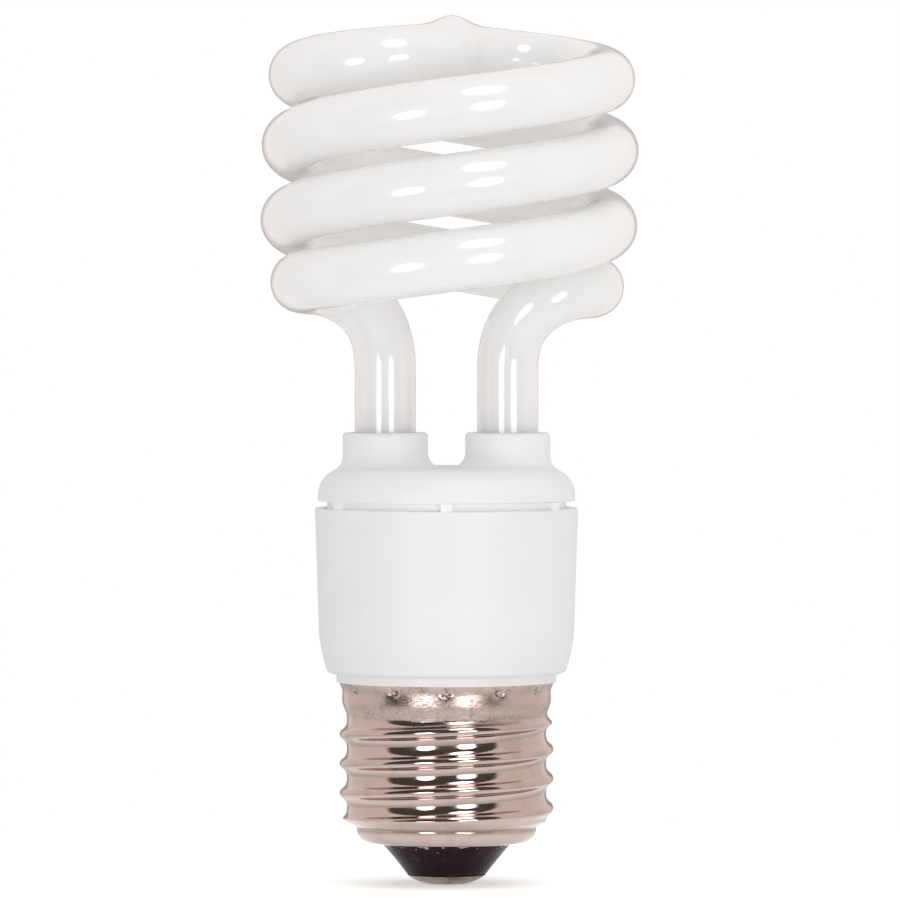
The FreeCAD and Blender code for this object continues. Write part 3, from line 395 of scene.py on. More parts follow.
@dataclass(frozen=True)
class MouldedPlastic:
    """White PBT, injection moulded in a finely spark eroded tool.

    The eye sees an even, faintly satin white. The skin has a fine grain, drawn here as coarse as it needs
    to show, and the flow of the melt leaves slow changes of tone. The vent slot is painted whiter, as painted
    light in its shade.
    """

    name: str = "moulded_white_pbt"
    white: str = "F3F3F4"
    flow: str = "F1F1F2"
    painted_slot_white: str = "FFFFFF"
    slot_mm: float = 46.8
    slot_half_mm: float = 0.75
    slot_radius_mm: float = 15.7
    flow_mm: float = 9.0
    flow_low: float = 0.38
    flow_high: float = 0.68
    grain_mm: float = 0.35
    smooth: float = 0.42
    dull: float = 0.56
    relief: float = 0.35
    relief_mm: float = 0.012
    glow_mm: float = 1.0

    def material(self) -> bpy.types.Material:
        """Build the node material.

        Returns:
            The material.
        """
        made, tree, place = start_material(self.name)
        flow = add_node(tree, "TexNoise", {
            "Vector": place, "Scale": grain(self.flow_mm), "Detail": 2.0, "Distortion": 0.6,
        })["Fac"]
        tone = add_node(tree, "MapRange", {
            "Value": flow, "From Min": self.flow_low, "From Max": self.flow_high,
        }, **SMOOTH)[0]
        outer = add_node(tree, "Mix", {0: tone, 6: linear(self.white), 7: linear(self.flow)}, **COLOUR)[2]
        # Painted light: the vent slot lies in shade between housing and cover, and its band is painted whiter
        # than the moulding
        parts = add_node(tree, "SeparateXYZ", {0: place})
        level = add_node(tree, "Math", {
            0: parts["Z"], 1: self.slot_mm * MM, 2: self.slot_half_mm * MM,
        }, operation="COMPARE")[0]
        flat = add_node(tree, "CombineXYZ", {"X": parts["X"], "Y": parts["Y"]})[0]
        radius = add_node(tree, "VectorMath", {0: flat}, operation="LENGTH")["Value"]
        behind = add_node(tree, "Math", {0: radius, 1: self.slot_radius_mm * MM}, operation="LESS_THAN")[0]
        inside = add_node(tree, "Math", {0: level, 1: behind}, operation="MULTIPLY")[0]
        base = add_node(tree, "Mix", {0: inside, 6: outer, 7: linear(self.painted_slot_white)}, **COLOUR)[2]
        skin = add_node(tree, "TexNoise", {
            "Vector": place, "Scale": grain(self.grain_mm), "Detail": 4.0, "Roughness": 0.6,
        })["Fac"]
        rough = add_node(tree, "MapRange", {"Value": skin, "To Min": self.smooth, "To Max": self.dull})[0]
        bump = add_node(tree, "Bump", {
            "Height": skin, "Strength": self.relief, "Distance": self.relief_mm * MM,
        })["Normal"]
        feed(tree, tree.nodes[SHADER], {
            "Base Color": base, "Roughness": rough, "Normal": bump, "IOR": 1.5,
            "Subsurface Weight": 0.1, "Subsurface Radius": (1.0, 0.98, 0.96),
            "Subsurface Scale": self.glow_mm * MM,
        })
        return made


@dataclass(frozen=True)
class PlatedBrass:
    """Brass sheet, rolled into a screw shell and plated with thin nickel.

    The eye sees a warm, slightly pink mirror with sharp dark lines in the thread. Handling leaves dull
    patches, and dark specks on the collar. The turned lines on the collar are finer than a pixel: they show
    as reflections that are spread up and down.
    """

    name: str = "rolled_nickel_plated_brass"
    plate: str = "C0AFA9"
    dull: str = "AC9D96"
    grime: str = "4E4644"
    smudge_mm: float = 4.0
    smudge_low: float = 0.46
    smudge_high: float = 0.66
    speck_mm: float = 0.3
    speck_low: float = 0.48
    speck_high: float = 0.66
    speck_dark: float = 0.75
    clean_share: float = 0.12
    wear_full: float = 0.6
    thread_smooth: float = 0.09
    thread_dull: float = 0.17
    collar_smooth: float = 0.13
    collar_dull: float = 0.34
    line_mm: float = 0.07
    line_depth_mm: float = 0.035
    line_stretch: float = 0.06
    thread_lines: float = 0.05
    collar_lines: float = 0.9
    collar_start_mm: float = 20.2
    collar_full_mm: float = 20.8

    def material(self) -> bpy.types.Material:
        """Build the node material.

        Returns:
            The material.
        """
        made, tree, place = start_material(self.name)
        height = add_node(tree, "SeparateXYZ", {0: place})["Z"]
        collar = add_node(tree, "MapRange", {
            "Value": height, "From Min": self.collar_start_mm * MM, "From Max": self.collar_full_mm * MM,
        }, **SMOOTH)[0]
        smudge = add_node(tree, "TexNoise", {
            "Vector": place, "Scale": grain(self.smudge_mm), "Detail": 5.0, "Roughness": 0.62,
            "Distortion": 0.4,
        })["Fac"]
        patch = add_node(tree, "MapRange", {
            "Value": smudge, "From Min": self.smudge_low, "From Max": self.smudge_high,
        }, **SMOOTH)[0]
        specks = add_node(tree, "TexNoise", {
            "Vector": place, "Scale": grain(self.speck_mm), "Detail": 4.0, "Roughness": 0.7,
        })["Fac"]
        stretched = add_node(tree, "Mapping", {
            "Vector": place, "Scale": (self.line_stretch, self.line_stretch, 1.0),
        })[0]
        lines = add_node(tree, "TexNoise", {
            "Vector": stretched, "Scale": grain(self.line_mm), "Detail": 3.0,
        })["Fac"]
        worn = add_node(tree, "Math", {0: patch, 1: specks}, operation="MULTIPLY")[0]
        plated = add_node(tree, "Mix", {0: worn, 6: linear(self.plate), 7: linear(self.dull)}, **COLOUR)[2]
        pitted = add_node(tree, "MapRange", {
            "Value": specks, "From Min": self.speck_low, "From Max": self.speck_high,
            "To Max": self.speck_dark,
        })[0]
        dense = add_node(tree, "MapRange", {"Value": patch, "To Min": self.clean_share})[0]
        spotted = add_node(tree, "Math", {0: pitted, 1: dense}, operation="MULTIPLY")[0]
        soiled = add_node(tree, "Math", {0: spotted, 1: collar}, operation="MULTIPLY")[0]
        base = add_node(tree, "Mix", {0: soiled, 6: plated, 7: linear(self.grime)}, **COLOUR)[2]
        thread_rough = add_node(tree, "MapRange", {
            "Value": worn, "From Max": self.wear_full,
            "To Min": self.thread_smooth, "To Max": self.thread_dull,
        })[0]
        collar_rough = add_node(tree, "MapRange", {
            "Value": worn, "From Max": self.wear_full,
            "To Min": self.collar_smooth, "To Max": self.collar_dull,
        })[0]
        rough = add_node(tree, "Mix", {0: collar, 2: thread_rough, 3: collar_rough}, data_type="FLOAT")[0]
        turned = add_node(tree, "MapRange", {
            "Value": collar, "To Min": self.thread_lines, "To Max": self.collar_lines,
        })[0]
        bump = add_node(tree, "Bump", {
            "Height": lines, "Strength": turned, "Distance": self.line_depth_mm * MM,
        })["Normal"]
        feed(tree, tree.nodes[SHADER], {
            "Base Color": base, "Roughness": rough, "Normal": bump, "Metallic": 1.0,
        })
        return made


@dataclass(frozen=True)
class PressedBlackGlass:
    """Black lead glass, pressed hot into the foot of the shell.

    The eye sees a deep purple black with a soft gloss, small pits, and pale chips where the edge flaked.
    """

    name: str = "pressed_black_glass"
    body: str = "24121D"
    haze: str = "4A3840"
    chip: str = "CFC3C0"
    haze_mm: float = 1.6
    haze_low: float = 0.5
    haze_high: float = 0.8
    smooth: float = 0.16
    dull: float = 0.42
    pits: float = 0.4
    pit_mm: float = 0.05
    chip_mm: float = 0.8
    chip_stretch: tuple[float, float, float] = (0.6, 0.6, 1.8)
    chip_low: float = 0.58
    chip_high: float = 0.63
    chip_fade: float = 0.25
    chip_low_mm: float = 3.7
    chip_high_mm: float = 4.9

    def material(self) -> bpy.types.Material:
        """Build the node material.

        Returns:
            The material.
        """
        made, tree, place = start_material(self.name)
        height = add_node(tree, "SeparateXYZ", {0: place})["Z"]
        haze = add_node(tree, "TexNoise", {
            "Vector": place, "Scale": grain(self.haze_mm), "Detail": 5.0, "Roughness": 0.65,
        })["Fac"]
        veil = add_node(tree, "MapRange", {
            "Value": haze, "From Min": self.haze_low, "From Max": self.haze_high,
        }, **SMOOTH)[0]
        base = add_node(tree, "Mix", {0: veil, 6: linear(self.body), 7: linear(self.haze)}, **COLOUR)[2]
        edge = add_node(tree, "MapRange", {
            "Value": height, "From Min": self.chip_low_mm * MM, "From Max": self.chip_high_mm * MM,
            "To Min": -self.chip_fade, "To Max": 0.0,
        })[0]
        long = add_node(tree, "Mapping", {"Vector": place, "Scale": self.chip_stretch})[0]
        flakes = add_node(tree, "TexNoise", {
            "Vector": long, "Scale": grain(self.chip_mm), "Detail": 2.0,
        })["Fac"]
        reach = add_node(tree, "Math", {0: flakes, 1: edge}, operation="ADD")[0]
        chips = add_node(tree, "MapRange", {
            "Value": reach, "From Min": self.chip_low, "From Max": self.chip_high,
        })[0]
        spotted = add_node(tree, "Mix", {0: chips, 6: base, 7: linear(self.chip)}, **COLOUR)[2]
        rough = add_node(tree, "MapRange", {"Value": haze, "To Min": self.smooth, "To Max": self.dull})[0]
        bump = add_node(tree, "Bump", {
            "Height": haze, "Strength": self.pits, "Distance": self.pit_mm * MM,
        })["Normal"]
        feed(tree, tree.nodes[SHADER], {
            "Base Color": spotted, "Roughness": rough, "Normal": bump, "IOR": 1.5, "Specular IOR Level": 0.09,
        })
        return made


@dataclass(frozen=True)
class CloudyFinish:
    """Finish in two tones of one material that cloud into each other, on a skin that dulls with them."""

    name: str
    tone: str
    second: str
    pattern_mm: float
    smooth: float
    dull: float
    metallic: float = 0.0
    relief_mm: float = 0.01
    relief: float = 0.4
    low: float = 0.35
    high: float = 0.65
    detail: float = 3.0
    fineness: float = 0.5
    blend: str = "LINEAR"

    def material(self) -> bpy.types.Material:
        """Build the node material.

        Returns:
            The material.
        """
        made, tree, place = start_material(self.name)
        pattern = add_node(tree, "TexNoise", {
            "Vector": place, "Scale": grain(self.pattern_mm),
            "Detail": self.detail, "Roughness": self.fineness,
        })["Fac"]
        share = add_node(tree, "MapRange", {
            "Value": pattern, "From Min": self.low, "From Max": self.high,
        }, interpolation_type=self.blend)[0]
        base = add_node(tree, "Mix", {0: share, 6: linear(self.tone), 7: linear(self.second)}, **COLOUR)[2]
        rough = add_node(tree, "MapRange", {
            "Value": pattern, "To Min": self.smooth, "To Max": self.dull,
        })[0]
        bump = add_node(tree, "Bump", {
            "Height": pattern, "Strength": self.relief, "Distance": self.relief_mm * MM,
        })["Normal"]
        feed(tree, tree.nodes[SHADER], {
            "Base Color": base, "Roughness": rough, "Normal": bump, "Metallic": self.metallic,
        })
        return made


# Brass contact, dipped in solder and dulled by handling: a warm grey metal with soft, cloudy reflections
TINNED_CONTACT = CloudyFinish(
    "tinned_contact_metal", "9C8B83", "6C5E59", pattern_mm=1.6, smooth=0.24, dull=0.5, metallic=1.0,
    relief_mm=0.06, low=0.42, high=0.7, detail=5.0, fineness=0.6, blend="SMOOTHSTEP",
)


# Sub-assemblies


@dataclass
class GlassCoil:
    """Coiled tube: two strands that rise from the legs, wind round the axis and meet in the bridge on top."""

    lip_z: float
    foot_z: float
    leg_x: float = 7.54
    tube_d: float = 7.5
    leg_rise: float = 8.0
    leg_bend: float = 9.8
    lead_in_turn: float = 44.0
    lead_in_x: float = 18.0
    coil_radius: float = 19.43
    coil_pitch: float = 18.46
    coil_climb: float = 8.0
    coil_ramp: float = 52.0
    coil_open: float = 60.0
    coil_turn: float = 699.0
    bridge_rise: float = 3.3
    coil_lean: float = 0.95
    tip_rise: float = 1.1
    tip_spread: float = 2.5
    bend_steps: int = 26
    lead_steps: int = 12
    coil_steps: int = 560
    bridge_steps: int = 120
    sides: int = 48
    finish: PhosphorGlass = PhosphorGlass()

    def __post_init__(self) -> None:
        """Work out the values that the route shares."""
        self.bend_z = self.lip_z + self.leg_rise
        self.level_z = self.bend_z + self.leg_bend
        self.turn = math.radians(self.lead_in_turn)
        self.lead_radius = (self.lead_in_x - self.leg_x) / (1 + math.cos(self.turn))
        self.lead_x = -self.leg_x - self.lead_radius * math.cos(self.turn)
        self.lead_y = -self.lead_radius * math.sin(self.turn)
        self.lead_length = self.lead_radius * (math.pi - self.turn)
        self.start_radius = math.hypot(self.lead_in_x, self.lead_y)
        self.start = math.pi + math.atan2(-self.lead_y, self.lead_in_x)
        self.rise = self.coil_pitch / math.tau
        self.ramp = math.radians(self.coil_ramp)
        self.open = math.radians(self.coil_open)
        self.end = math.radians(self.coil_turn)

    def height(self, angle: float) -> float:
        """Rise of the coil, which starts level and climbs evenly after its ramp.

        Args:
            angle: angle about the axis.

        Returns:
            Height over the level of the bend.
        """
        past = angle - (math.tau - self.coil_climb / self.rise)
        if past >= self.ramp:
            return self.rise * past
        return self.rise * max(past + self.ramp, 0.0) ** 2 / (4 * self.ramp)

    def lead_in(self, length: float) -> Vector:
        """Route along the plan arc from the leg to the coil.

        Args:
            length: length along the arc.

        Returns:
            Place on the first strand.
        """
        angle = self.turn + length / self.lead_radius
        coil_angle = self.start - (self.lead_length - length) / self.start_radius
        return Vector((
            self.lead_x + self.lead_radius * math.cos(angle),
            self.lead_y + self.lead_radius * math.sin(angle),
            self.level_z + self.height(coil_angle),
        ))

    def bend_up(self, angle: float) -> Vector:
        """Route along the bend from upright to level.

        Args:
            angle: angle of the bend's arc.

        Returns:
            Place on the first strand.
        """
        spot = self.lead_in(self.leg_bend * (1 - math.cos(angle)))
        spot.z -= self.leg_bend * (1 - math.sin(angle))
        return spot

    def coil(self, angle: float) -> Vector:
        """Route along the helix, which opens out to its full radius.

        Args:
            angle: angle about the axis.

        Returns:
            Place on the first strand.
        """
        share = min((angle - self.start) / self.open, 1.0)
        slope = self.start_radius * math.tan(self.start - math.pi) * self.open
        radius = hermite(share, self.start_radius, slope, self.coil_radius)
        return Vector((radius * math.cos(angle), radius * math.sin(angle), self.level_z + self.height(angle)))

    def bridge(self, angle: float) -> Vector:
        """Route along the arc from the coil to the axis.

        Args:
            angle: angle past the coil's end.

        Returns:
            Place on the first strand.
        """
        start_z = self.height(self.end)
        share = angle / (math.pi / 2)
        z = self.level_z + hermite(share, start_z, self.rise * math.pi / 2, start_z + self.bridge_rise)
        radius = self.coil_radius * math.cos(angle)
        return Vector((radius * math.cos(self.end + angle), radius * math.sin(self.end + angle), z))

    def leaned(self, spot: Vector, side: int) -> Vector:
        """Give a place on the first strand its strand, and the lean of the coil on its legs.

        Args:
            spot: place on the first strand, upright.
            side: 1 for the first strand and -1 for the second.

        Returns:
            The place on that strand.
        """
        tilt = math.radians(self.coil_lean) * smooth_step((spot.z - self.bend_z) / self.leg_bend)
        pivot = Vector((0, 0, self.bend_z))
        turned = Vector((spot.x * side, spot.y * side, spot.z)) - pivot
        return Matrix.Rotation(tilt, 3, "Y") @ turned + pivot

    def strand(self, side: int) -> list[Vector]:
        """Line of one strand from its leg's foot to the axis.

        Args:
            side: 1 for the first strand and -1 for the second.

        Returns:
            Places along it, without the one on the axis.
        """
        stretches = [
            (self.bend_up, 0.0, math.pi / 2, self.bend_steps),
            (self.lead_in, self.leg_bend, self.lead_length, self.lead_steps),
            (self.coil, self.start, self.end, self.coil_steps),
            (self.bridge, 0.0, math.pi / 2, self.bridge_steps),
        ]
        line = [Vector((-self.leg_x * side, 0, self.foot_z))]
        for route, first, last, count in stretches:
            line += [self.leaned(route(first + (last - first) * step / count), side) for step in range(count)]
        return line

    def crown(self) -> Vector:
        """Place on the axis where the strands meet."""
        return self.leaned(self.bridge(math.pi / 2), 1)

    def build(self) -> bpy.types.Object:
        """Sweep the tube along its line, then draw the sealed tip out of the bridge.

        Returns:
            The dressed tube.
        """
        deselect()
        bpy.ops.curve.primitive_nurbs_path_add()
        piece = bpy.context.object
        piece.name = "phosphor_tube"
        curve = piece.data
        curve.splines.clear()
        line = [*self.strand(1), self.crown(), *reversed(self.strand(-1))]
        spline = curve.splines.new("POLY")
        spline.points.add(len(line) - 1)
        for point, spot in zip(spline.points, line):
            point.co = (*(spot * MM), 1.0)
        curve.dimensions = "3D"
        curve.bevel_depth = self.tube_d / 2 * MM
        # A bevel has four sides and two more for each step of its resolution
        curve.bevel_resolution = (self.sides - 4) // 2
        curve.use_fill_caps = True
        bpy.ops.object.convert(target="MESH")
        piece = bpy.context.object
        self.draw_tip(piece)
        return dress(piece, "spiral_tube", self.finish.material(), crease=60)

    def draw_tip(self, piece: bpy.types.Object) -> None:
        """Pull the tip up out of the bridge, as the sealed exhaust stub of the glass.

        Args:
            piece: swept tube.
        """
        lean = math.radians(self.coil_lean)
        up = Vector((math.sin(lean), 0, math.cos(lean)))
        top = self.crown() + up * self.tube_d / 2

        def drawn(spot: Vector) -> Vector:
            """Place of a point after the tip is pulled up."""
            away = spot - top
            beside = (away - up * away.dot(up)).length / self.tip_spread
            below = max(-away.dot(up), 0.0) / self.tube_d
            return spot + up * self.tip_rise * math.exp(-beside**2 / 2) * smooth_step(1 - below)

        push_points(piece, drawn)


@dataclass
class ScrewShell:
    """Rolled screw shell: a turned wall whose thread and crimp marks are pressed into it."""

    foot_z: float
    rim_z: float
    segments: int = 432
    wall: float = 0.35
    hole_r: float = 8.1
    foot_r: float = 11.1
    foot_round: float = 1.7
    foot_rise: float = 1.9
    foot_steps: int = 12
    thread_r: float = 13.15
    root_r: float = 12.2
    pitch: float = 3.629
    thread_rise: float = 13.7
    thread_steps: int = 100
    fade: float = 1.5
    neck_drop: float = 0.44
    neck_rise: float = 2.4
    crest_share: float = 0.3
    start_share: float = 0.35
    collar_r: float = 12.85
    collar_steps: int = 16
    rim_r: float = 13.3
    flare_rise: float = 1.4
    flare_steps: int = 18
    crimps: int = 12
    crimp_across: float = 2.0
    crimp_tall: float = 1.6
    crimp_depth: float = 0.4
    crimp_drop: float = 0.9
    dish_focus: float = 2.0
    dish_edge: float = 1.15
    dish_share: float = 0.6
    punch_focus: float = 4.4
    punch_edge: float = 1.3
    punch_share: float = 0.5
    soft: float = 0.25
    finish: PlatedBrass = PlatedBrass()

    def __post_init__(self) -> None:
        """Work out the heights of the stretches."""
        self.thread_z = self.foot_z + self.foot_rise
        self.collar_z = self.thread_z + self.thread_rise
        self.flare_z = self.rim_z - self.flare_rise
        self.crimp_z = self.rim_z - self.crimp_drop

    def limit(self, z: float) -> float:
        """Largest radius that the foot, the run-out and the collar leave to the thread.

        Args:
            z: height.

        Returns:
            The radius.
        """
        if z < self.thread_z + self.fade:
            share = max(z - self.thread_z, 0.0) / self.fade
            return self.foot_r + share * (self.thread_r + self.wall - self.foot_r)
        share = smooth_step((z - self.collar_z + self.fade) / (self.fade + self.neck_drop))
        return self.thread_r + self.wall - share * (self.thread_r + self.wall - self.neck(z))

    def neck(self, z: float) -> float:
        """Radius of the plain wall at a height, from the thread's root up to the collar."""
        share = smooth_step((z - self.collar_z + self.neck_drop) / self.neck_rise)
        return self.root_r + share * (self.collar_r - self.root_r)

    def ridge(self, angle: float, z: float) -> float:
        """Rolled wave of the thread: an arc over the crest meets one through the root.

        Args:
            angle: angle about the axis.
            z: height.

        Returns:
            Radius of the wave.
        """
        half = self.pitch / 2
        crest = half * self.crest_share
        slope = math.sin(2 * math.atan2(self.thread_r - self.root_r, half))
        crest_round, root_round = crest / slope, (half - crest) / slope
        turns = (z - self.thread_z + self.pitch * self.start_share) / self.pitch - angle / math.tau
        off = abs(turns - round(turns)) * self.pitch
        if off <= crest:
            return self.thread_r - crest_round + math.sqrt(crest_round**2 - off**2)
        return self.root_r + root_round - math.sqrt(root_round**2 - (half - off) ** 2)

    def rolled(self, spot: Vector) -> Vector:
        """Roll the thread into the outer skin and press the crimps.

        Args:
            spot: point of the turned wall.

        Returns:
            Its place afterwards.
        """
        radius = math.hypot(spot.x, spot.y)
        angle = math.atan2(spot.y, spot.x)
        if radius < self.root_r - self.wall / 2 and spot.z > self.thread_z:
            return spot
        made = radius
        if self.thread_z < spot.z < self.collar_z + self.neck_drop:
            made = soft_max(self.ridge(angle, spot.z), self.neck(spot.z), self.soft)
            made = soft_min(made, self.limit(spot.z), self.soft)
        elif spot.z >= self.collar_z:
            made = radius - self.collar_r + self.neck(spot.z) - self.crimp(angle, spot.z)
        return Vector((spot.x * made / radius, spot.y * made / radius, spot.z))

    def crimp(self, angle: float, z: float) -> float:
        """Nearest crimp mark: a wide dish with a smaller punch mark in it.

        Args:
            angle: angle about the axis.
            z: height.

        Returns:
            Depth of the mark there.
        """
        step = math.tau / self.crimps
        beside = (angle - round(angle / step) * step) * self.collar_r
        off = math.hypot(beside / self.crimp_across, (z - self.crimp_z) / self.crimp_tall)
        dish = self.dish_share * smooth_step(self.dish_edge - off * self.dish_focus)
        punch = self.punch_share * smooth_step(self.punch_edge - off * self.punch_focus)
        return self.crimp_depth * (dish + punch)

    def outline(self) -> Outline:
        """Draw the plain wall, up its outside and down its bore.

        Returns:
            The closed outline.
        """
        bore_r = self.root_r - self.wall
        inner_foot = self.foot_r - self.wall
        inner_round = self.foot_round - self.wall
        inner_collar = self.collar_r - self.wall
        round_z = self.foot_z + self.foot_round
        wall = Outline(self.hole_r, self.foot_z)
        wall.straight(self.foot_r - self.foot_round, self.foot_z, 3)
        wall.arc((self.foot_r - self.foot_round, round_z), self.foot_round, (-90, 0), self.foot_steps)
        wall.straight(self.foot_r, self.thread_z, 2)
        wall.move(self.root_r, self.thread_z)
        wall.straight(self.root_r, self.collar_z, self.thread_steps)
        wall.move(self.collar_r, self.collar_z)
        wall.straight(self.collar_r, self.flare_z, self.collar_steps)
        for step in range(1, self.flare_steps + 1):
            share = step / self.flare_steps
            flare = (self.rim_r - self.collar_r) * share**2
            wall.add(self.collar_r + flare, self.flare_z + self.flare_rise * share)
        wall.straight(inner_collar, self.rim_z, 2)
        wall.straight(inner_collar, self.collar_z, 3)
        wall.straight(bore_r, self.collar_z - self.fade / 2)
        wall.straight(bore_r, self.thread_z + self.fade, 4)
        wall.straight(inner_foot, self.thread_z + self.wall)
        wall.straight(inner_foot, round_z)
        wall.arc((inner_foot - inner_round, round_z), inner_round, (0, -90), self.foot_steps // 2)
        wall.straight(self.hole_r, self.foot_z + self.wall)
        return wall

    def build(self) -> bpy.types.Object:
        """Turn the wall, roll the thread and press the crimps.

        Returns:
            The dressed shell.
        """
        piece = self.outline().turn("rolled_shell", self.segments)
        push_points(piece, self.rolled)
        return dress(piece, "screw_shell", self.finish.material(), crease=50)


@dataclass
class CapFoot:
    """Black glass foot of the cap and the contact that it carries."""

    shell_z: float
    contact_rise: float = 1.14
    contact_r: float = 4.85
    flat_r: float = 1.5
    dome_steps: int = 16
    stem_r: float = 1.5
    stem_rise: float = 2.6
    wire_r: float = 0.45
    top_r: float = 8.1
    shell_wall: float = 0.35
    flange_r: float = 8.9
    flange_rise: float = 1.9
    edge: float = 0.18
    cone_steps: int = 16
    sag: float = 0.05
    broad_wave: float = 0.03
    broad_count: int = 3
    broad_start: float = 0.6
    fine_wave: float = 0.02
    fine_count: int = 7
    segments: int = 192
    glass: PressedBlackGlass = PressedBlackGlass()
    metal: CloudyFinish = TINNED_CONTACT

    def uneven(self, spot: Vector) -> Vector:
        """Let the pressed cone sag and wave a little between its edges.

        Args:
            spot: point of the turned glass.

        Returns:
            Its place afterwards.
        """
        if not self.contact_rise + self.edge < spot.z < self.shell_z - self.edge:
            return spot
        angle = math.atan2(spot.y, spot.x)
        share = (spot.z - self.contact_rise) / (self.shell_z - self.contact_rise)
        wave = self.broad_wave * math.sin(self.broad_count * angle + self.broad_start)
        wave += self.fine_wave * math.sin(self.fine_count * angle) * share
        swell = 1 + (wave - self.sag) * math.sin(math.pi * share) / math.hypot(spot.x, spot.y)
        return Vector((spot.x * swell, spot.y * swell, spot.z))

    def glass_foot(self) -> bpy.types.Object:
        """Turn the insulator: a cone with pressed, slightly uneven sides and a flange inside the shell.

        Returns:
            The dressed insulator.
        """
        seat = self.shell_z + self.shell_wall
        top = seat + self.flange_rise
        cone = Outline(self.stem_r, self.contact_rise)
        cone.straight(self.contact_r - self.edge, self.contact_rise, 4)
        cone.straight(self.contact_r + self.edge / 2, self.contact_rise + self.edge, 2)
        cone.straight(self.top_r, self.shell_z, self.cone_steps)
        cone.straight(self.top_r, seat, 2)
        cone.straight(self.flange_r, seat, 2)
        cone.straight(self.flange_r, top, 2)
        cone.straight(self.stem_r, top, 4)
        piece = cone.turn("black_glass_foot", self.segments)
        push_points(piece, self.uneven)
        return dress(piece, "insulator", self.glass.material(), crease=35)

    def contact(self) -> bpy.types.Object:
        """Turn the contact: a flat tip, a dome and a hollow stem.

        Returns:
            The dressed contact.
        """
        span = self.contact_r - self.flat_r
        dome_r = (span**2 + self.contact_rise**2) / (2 * self.contact_rise)
        sweep = math.degrees(math.asin(span / dome_r))
        stem_z = self.contact_rise + self.stem_rise
        dome = Outline(self.wire_r, self.contact_rise / 2)
        dome.straight(self.wire_r, 0.0, 2)
        dome.straight(self.flat_r, 0.0, 3)
        dome.arc((self.flat_r, dome_r), dome_r, (-90, sweep - 90), self.dome_steps)
        dome.straight(self.stem_r, self.contact_rise, 4)
        dome.straight(self.stem_r, stem_z, 3)
        dome.straight(self.wire_r, stem_z)
        dome.straight(self.wire_r, self.contact_rise / 2, 3)
        piece = dome.turn("tinned_contact", self.segments)
        return dress(piece, "centre_contact", self.metal.material(), crease=35)


@dataclass
class PlasticBody:
    """Housing and cover, whose solids keep their shape and get the moulded finish."""

    housing: MouldedPlastic = MouldedPlastic()
    cover: MouldedPlastic = MouldedPlastic(name="moulded_cool_white_pbt", white="F3F5F7", flow="F1F3F5")

    def dress(self, nodes: dict[str, bpy.types.Object]) -> None:
        """Paint the two mouldings."""
        paint(nodes, "housing", self.housing.material())
        paint(nodes, "top_cover", self.cover.material())


class Ballast:
    """Parts sealed in the housing, each in the finish of the real one.

    A finish gives its two tones, the size of its pattern in millimetres, and how rough it is at its smoothest
    and dullest.
    """

    cement = CloudyFinish("cured_white_cement", "DAD6CC", "C6C0B2", 0.8, 0.7, 0.9, relief_mm=0.05)
    board = CloudyFinish("phenolic_paper_board", "B98A4E", "A87A41", 1.2, 0.5, 0.7)
    tin = CloudyFinish("tinned_copper_wire", "C9C7C2", "B3B0AA", 0.5, 0.25, 0.4, metallic=1.0)
    sleeve = CloudyFinish("black_moulded_epoxy", "1E1E20", "29292B", 0.6, 0.4, 0.6)
    ferrite = CloudyFinish("sintered_ferrite", "35343A", "46454A", 0.4, 0.5, 0.75)
    copper = CloudyFinish("enamelled_copper_winding", "B5622F", "9A4E22", 0.5, 0.25, 0.4, metallic=1.0)
    blue = CloudyFinish("blue_lacquer", "5E93B4", "4F81A3", 0.7, 0.3, 0.5)
    red = CloudyFinish("red_brown_lacquer", "8E3B22", "7B301A", 0.7, 0.25, 0.45)
    parts = {
        "tube_cement": cement, "circuit_board": board, "board_pins": tin, "filament_leads": tin,
        "smoothing_capacitor": sleeve, "choke_core": ferrite, "choke_bobbin": sleeve, "choke_winding": copper,
        "toroid_core": ferrite, "toroid_windings": copper, "transistor_1": sleeve, "transistor_2": sleeve,
        "rectifier_diodes": sleeve, "trigger_diode": blue, "start_resistor_1": blue, "start_resistor_2": blue,
        "coupling_capacitor": red, "resonance_capacitor": red, "fuse_resistor": blue, "phase_lead": sleeve,
        "neutral_lead": tin,
    }

    def dress(self, nodes: dict[str, bpy.types.Object]) -> None:
        """Paint every sealed part, with one material for each finish.

        Args:
            nodes: solids of the frame by name.
        """
        made: dict[str, bpy.types.Material] = {}
        for name, finish in self.parts.items():
            if finish.name not in made:
                made[finish.name] = finish.material()
            paint(nodes, name, made[finish.name])


# Studio


@dataclass(frozen=True)
class SoftBox:
    """Round soft light that faces the lamp from a direction, at a brightness of its own surface."""

    name: str
    azimuth: float
    elevation: float
    width: float
    height: float
    brightness: float
    gleam: float = 4.5
    distance: float = 1.0
    gap: float = 0.01

    def build(self, target: Vector) -> None:
        """Place the light, and its bright face that only shows in glossy skins.

        Args:
            target: place that it faces.
        """
        self.light(self.name, target, self.brightness, self.distance)
        face = self.light(f"{self.name}_face", target, self.gleam, self.distance - self.gap)
        face.visible_diffuse = False

    def light(self, name: str, target: Vector, brightness: float, distance: float) -> bpy.types.Object:
        """Add an area light of this size.

        Args:
            name: its name.
            target: place that it faces.
            brightness: brightness of its surface.
            distance: how far it stands from the target.

        Returns:
            The light.
        """
        side, lift = math.radians(self.azimuth), math.radians(self.elevation)
        back = Vector((math.sin(side) * math.cos(lift), -math.cos(side) * math.cos(lift), math.sin(lift)))
        bpy.ops.object.light_add(type="AREA", location=target + back * distance)
        light = bpy.context.object
        light.name = name
        light.rotation_euler = back.to_track_quat("Z", "Y").to_euler()
        light.data.shape = "ELLIPSE"
        light.data.size, light.data.size_y = self.width, self.height
        light.data.energy = brightness * math.pi * (math.pi / 4 * self.width * self.height)
        light.visible_camera = False
        return light


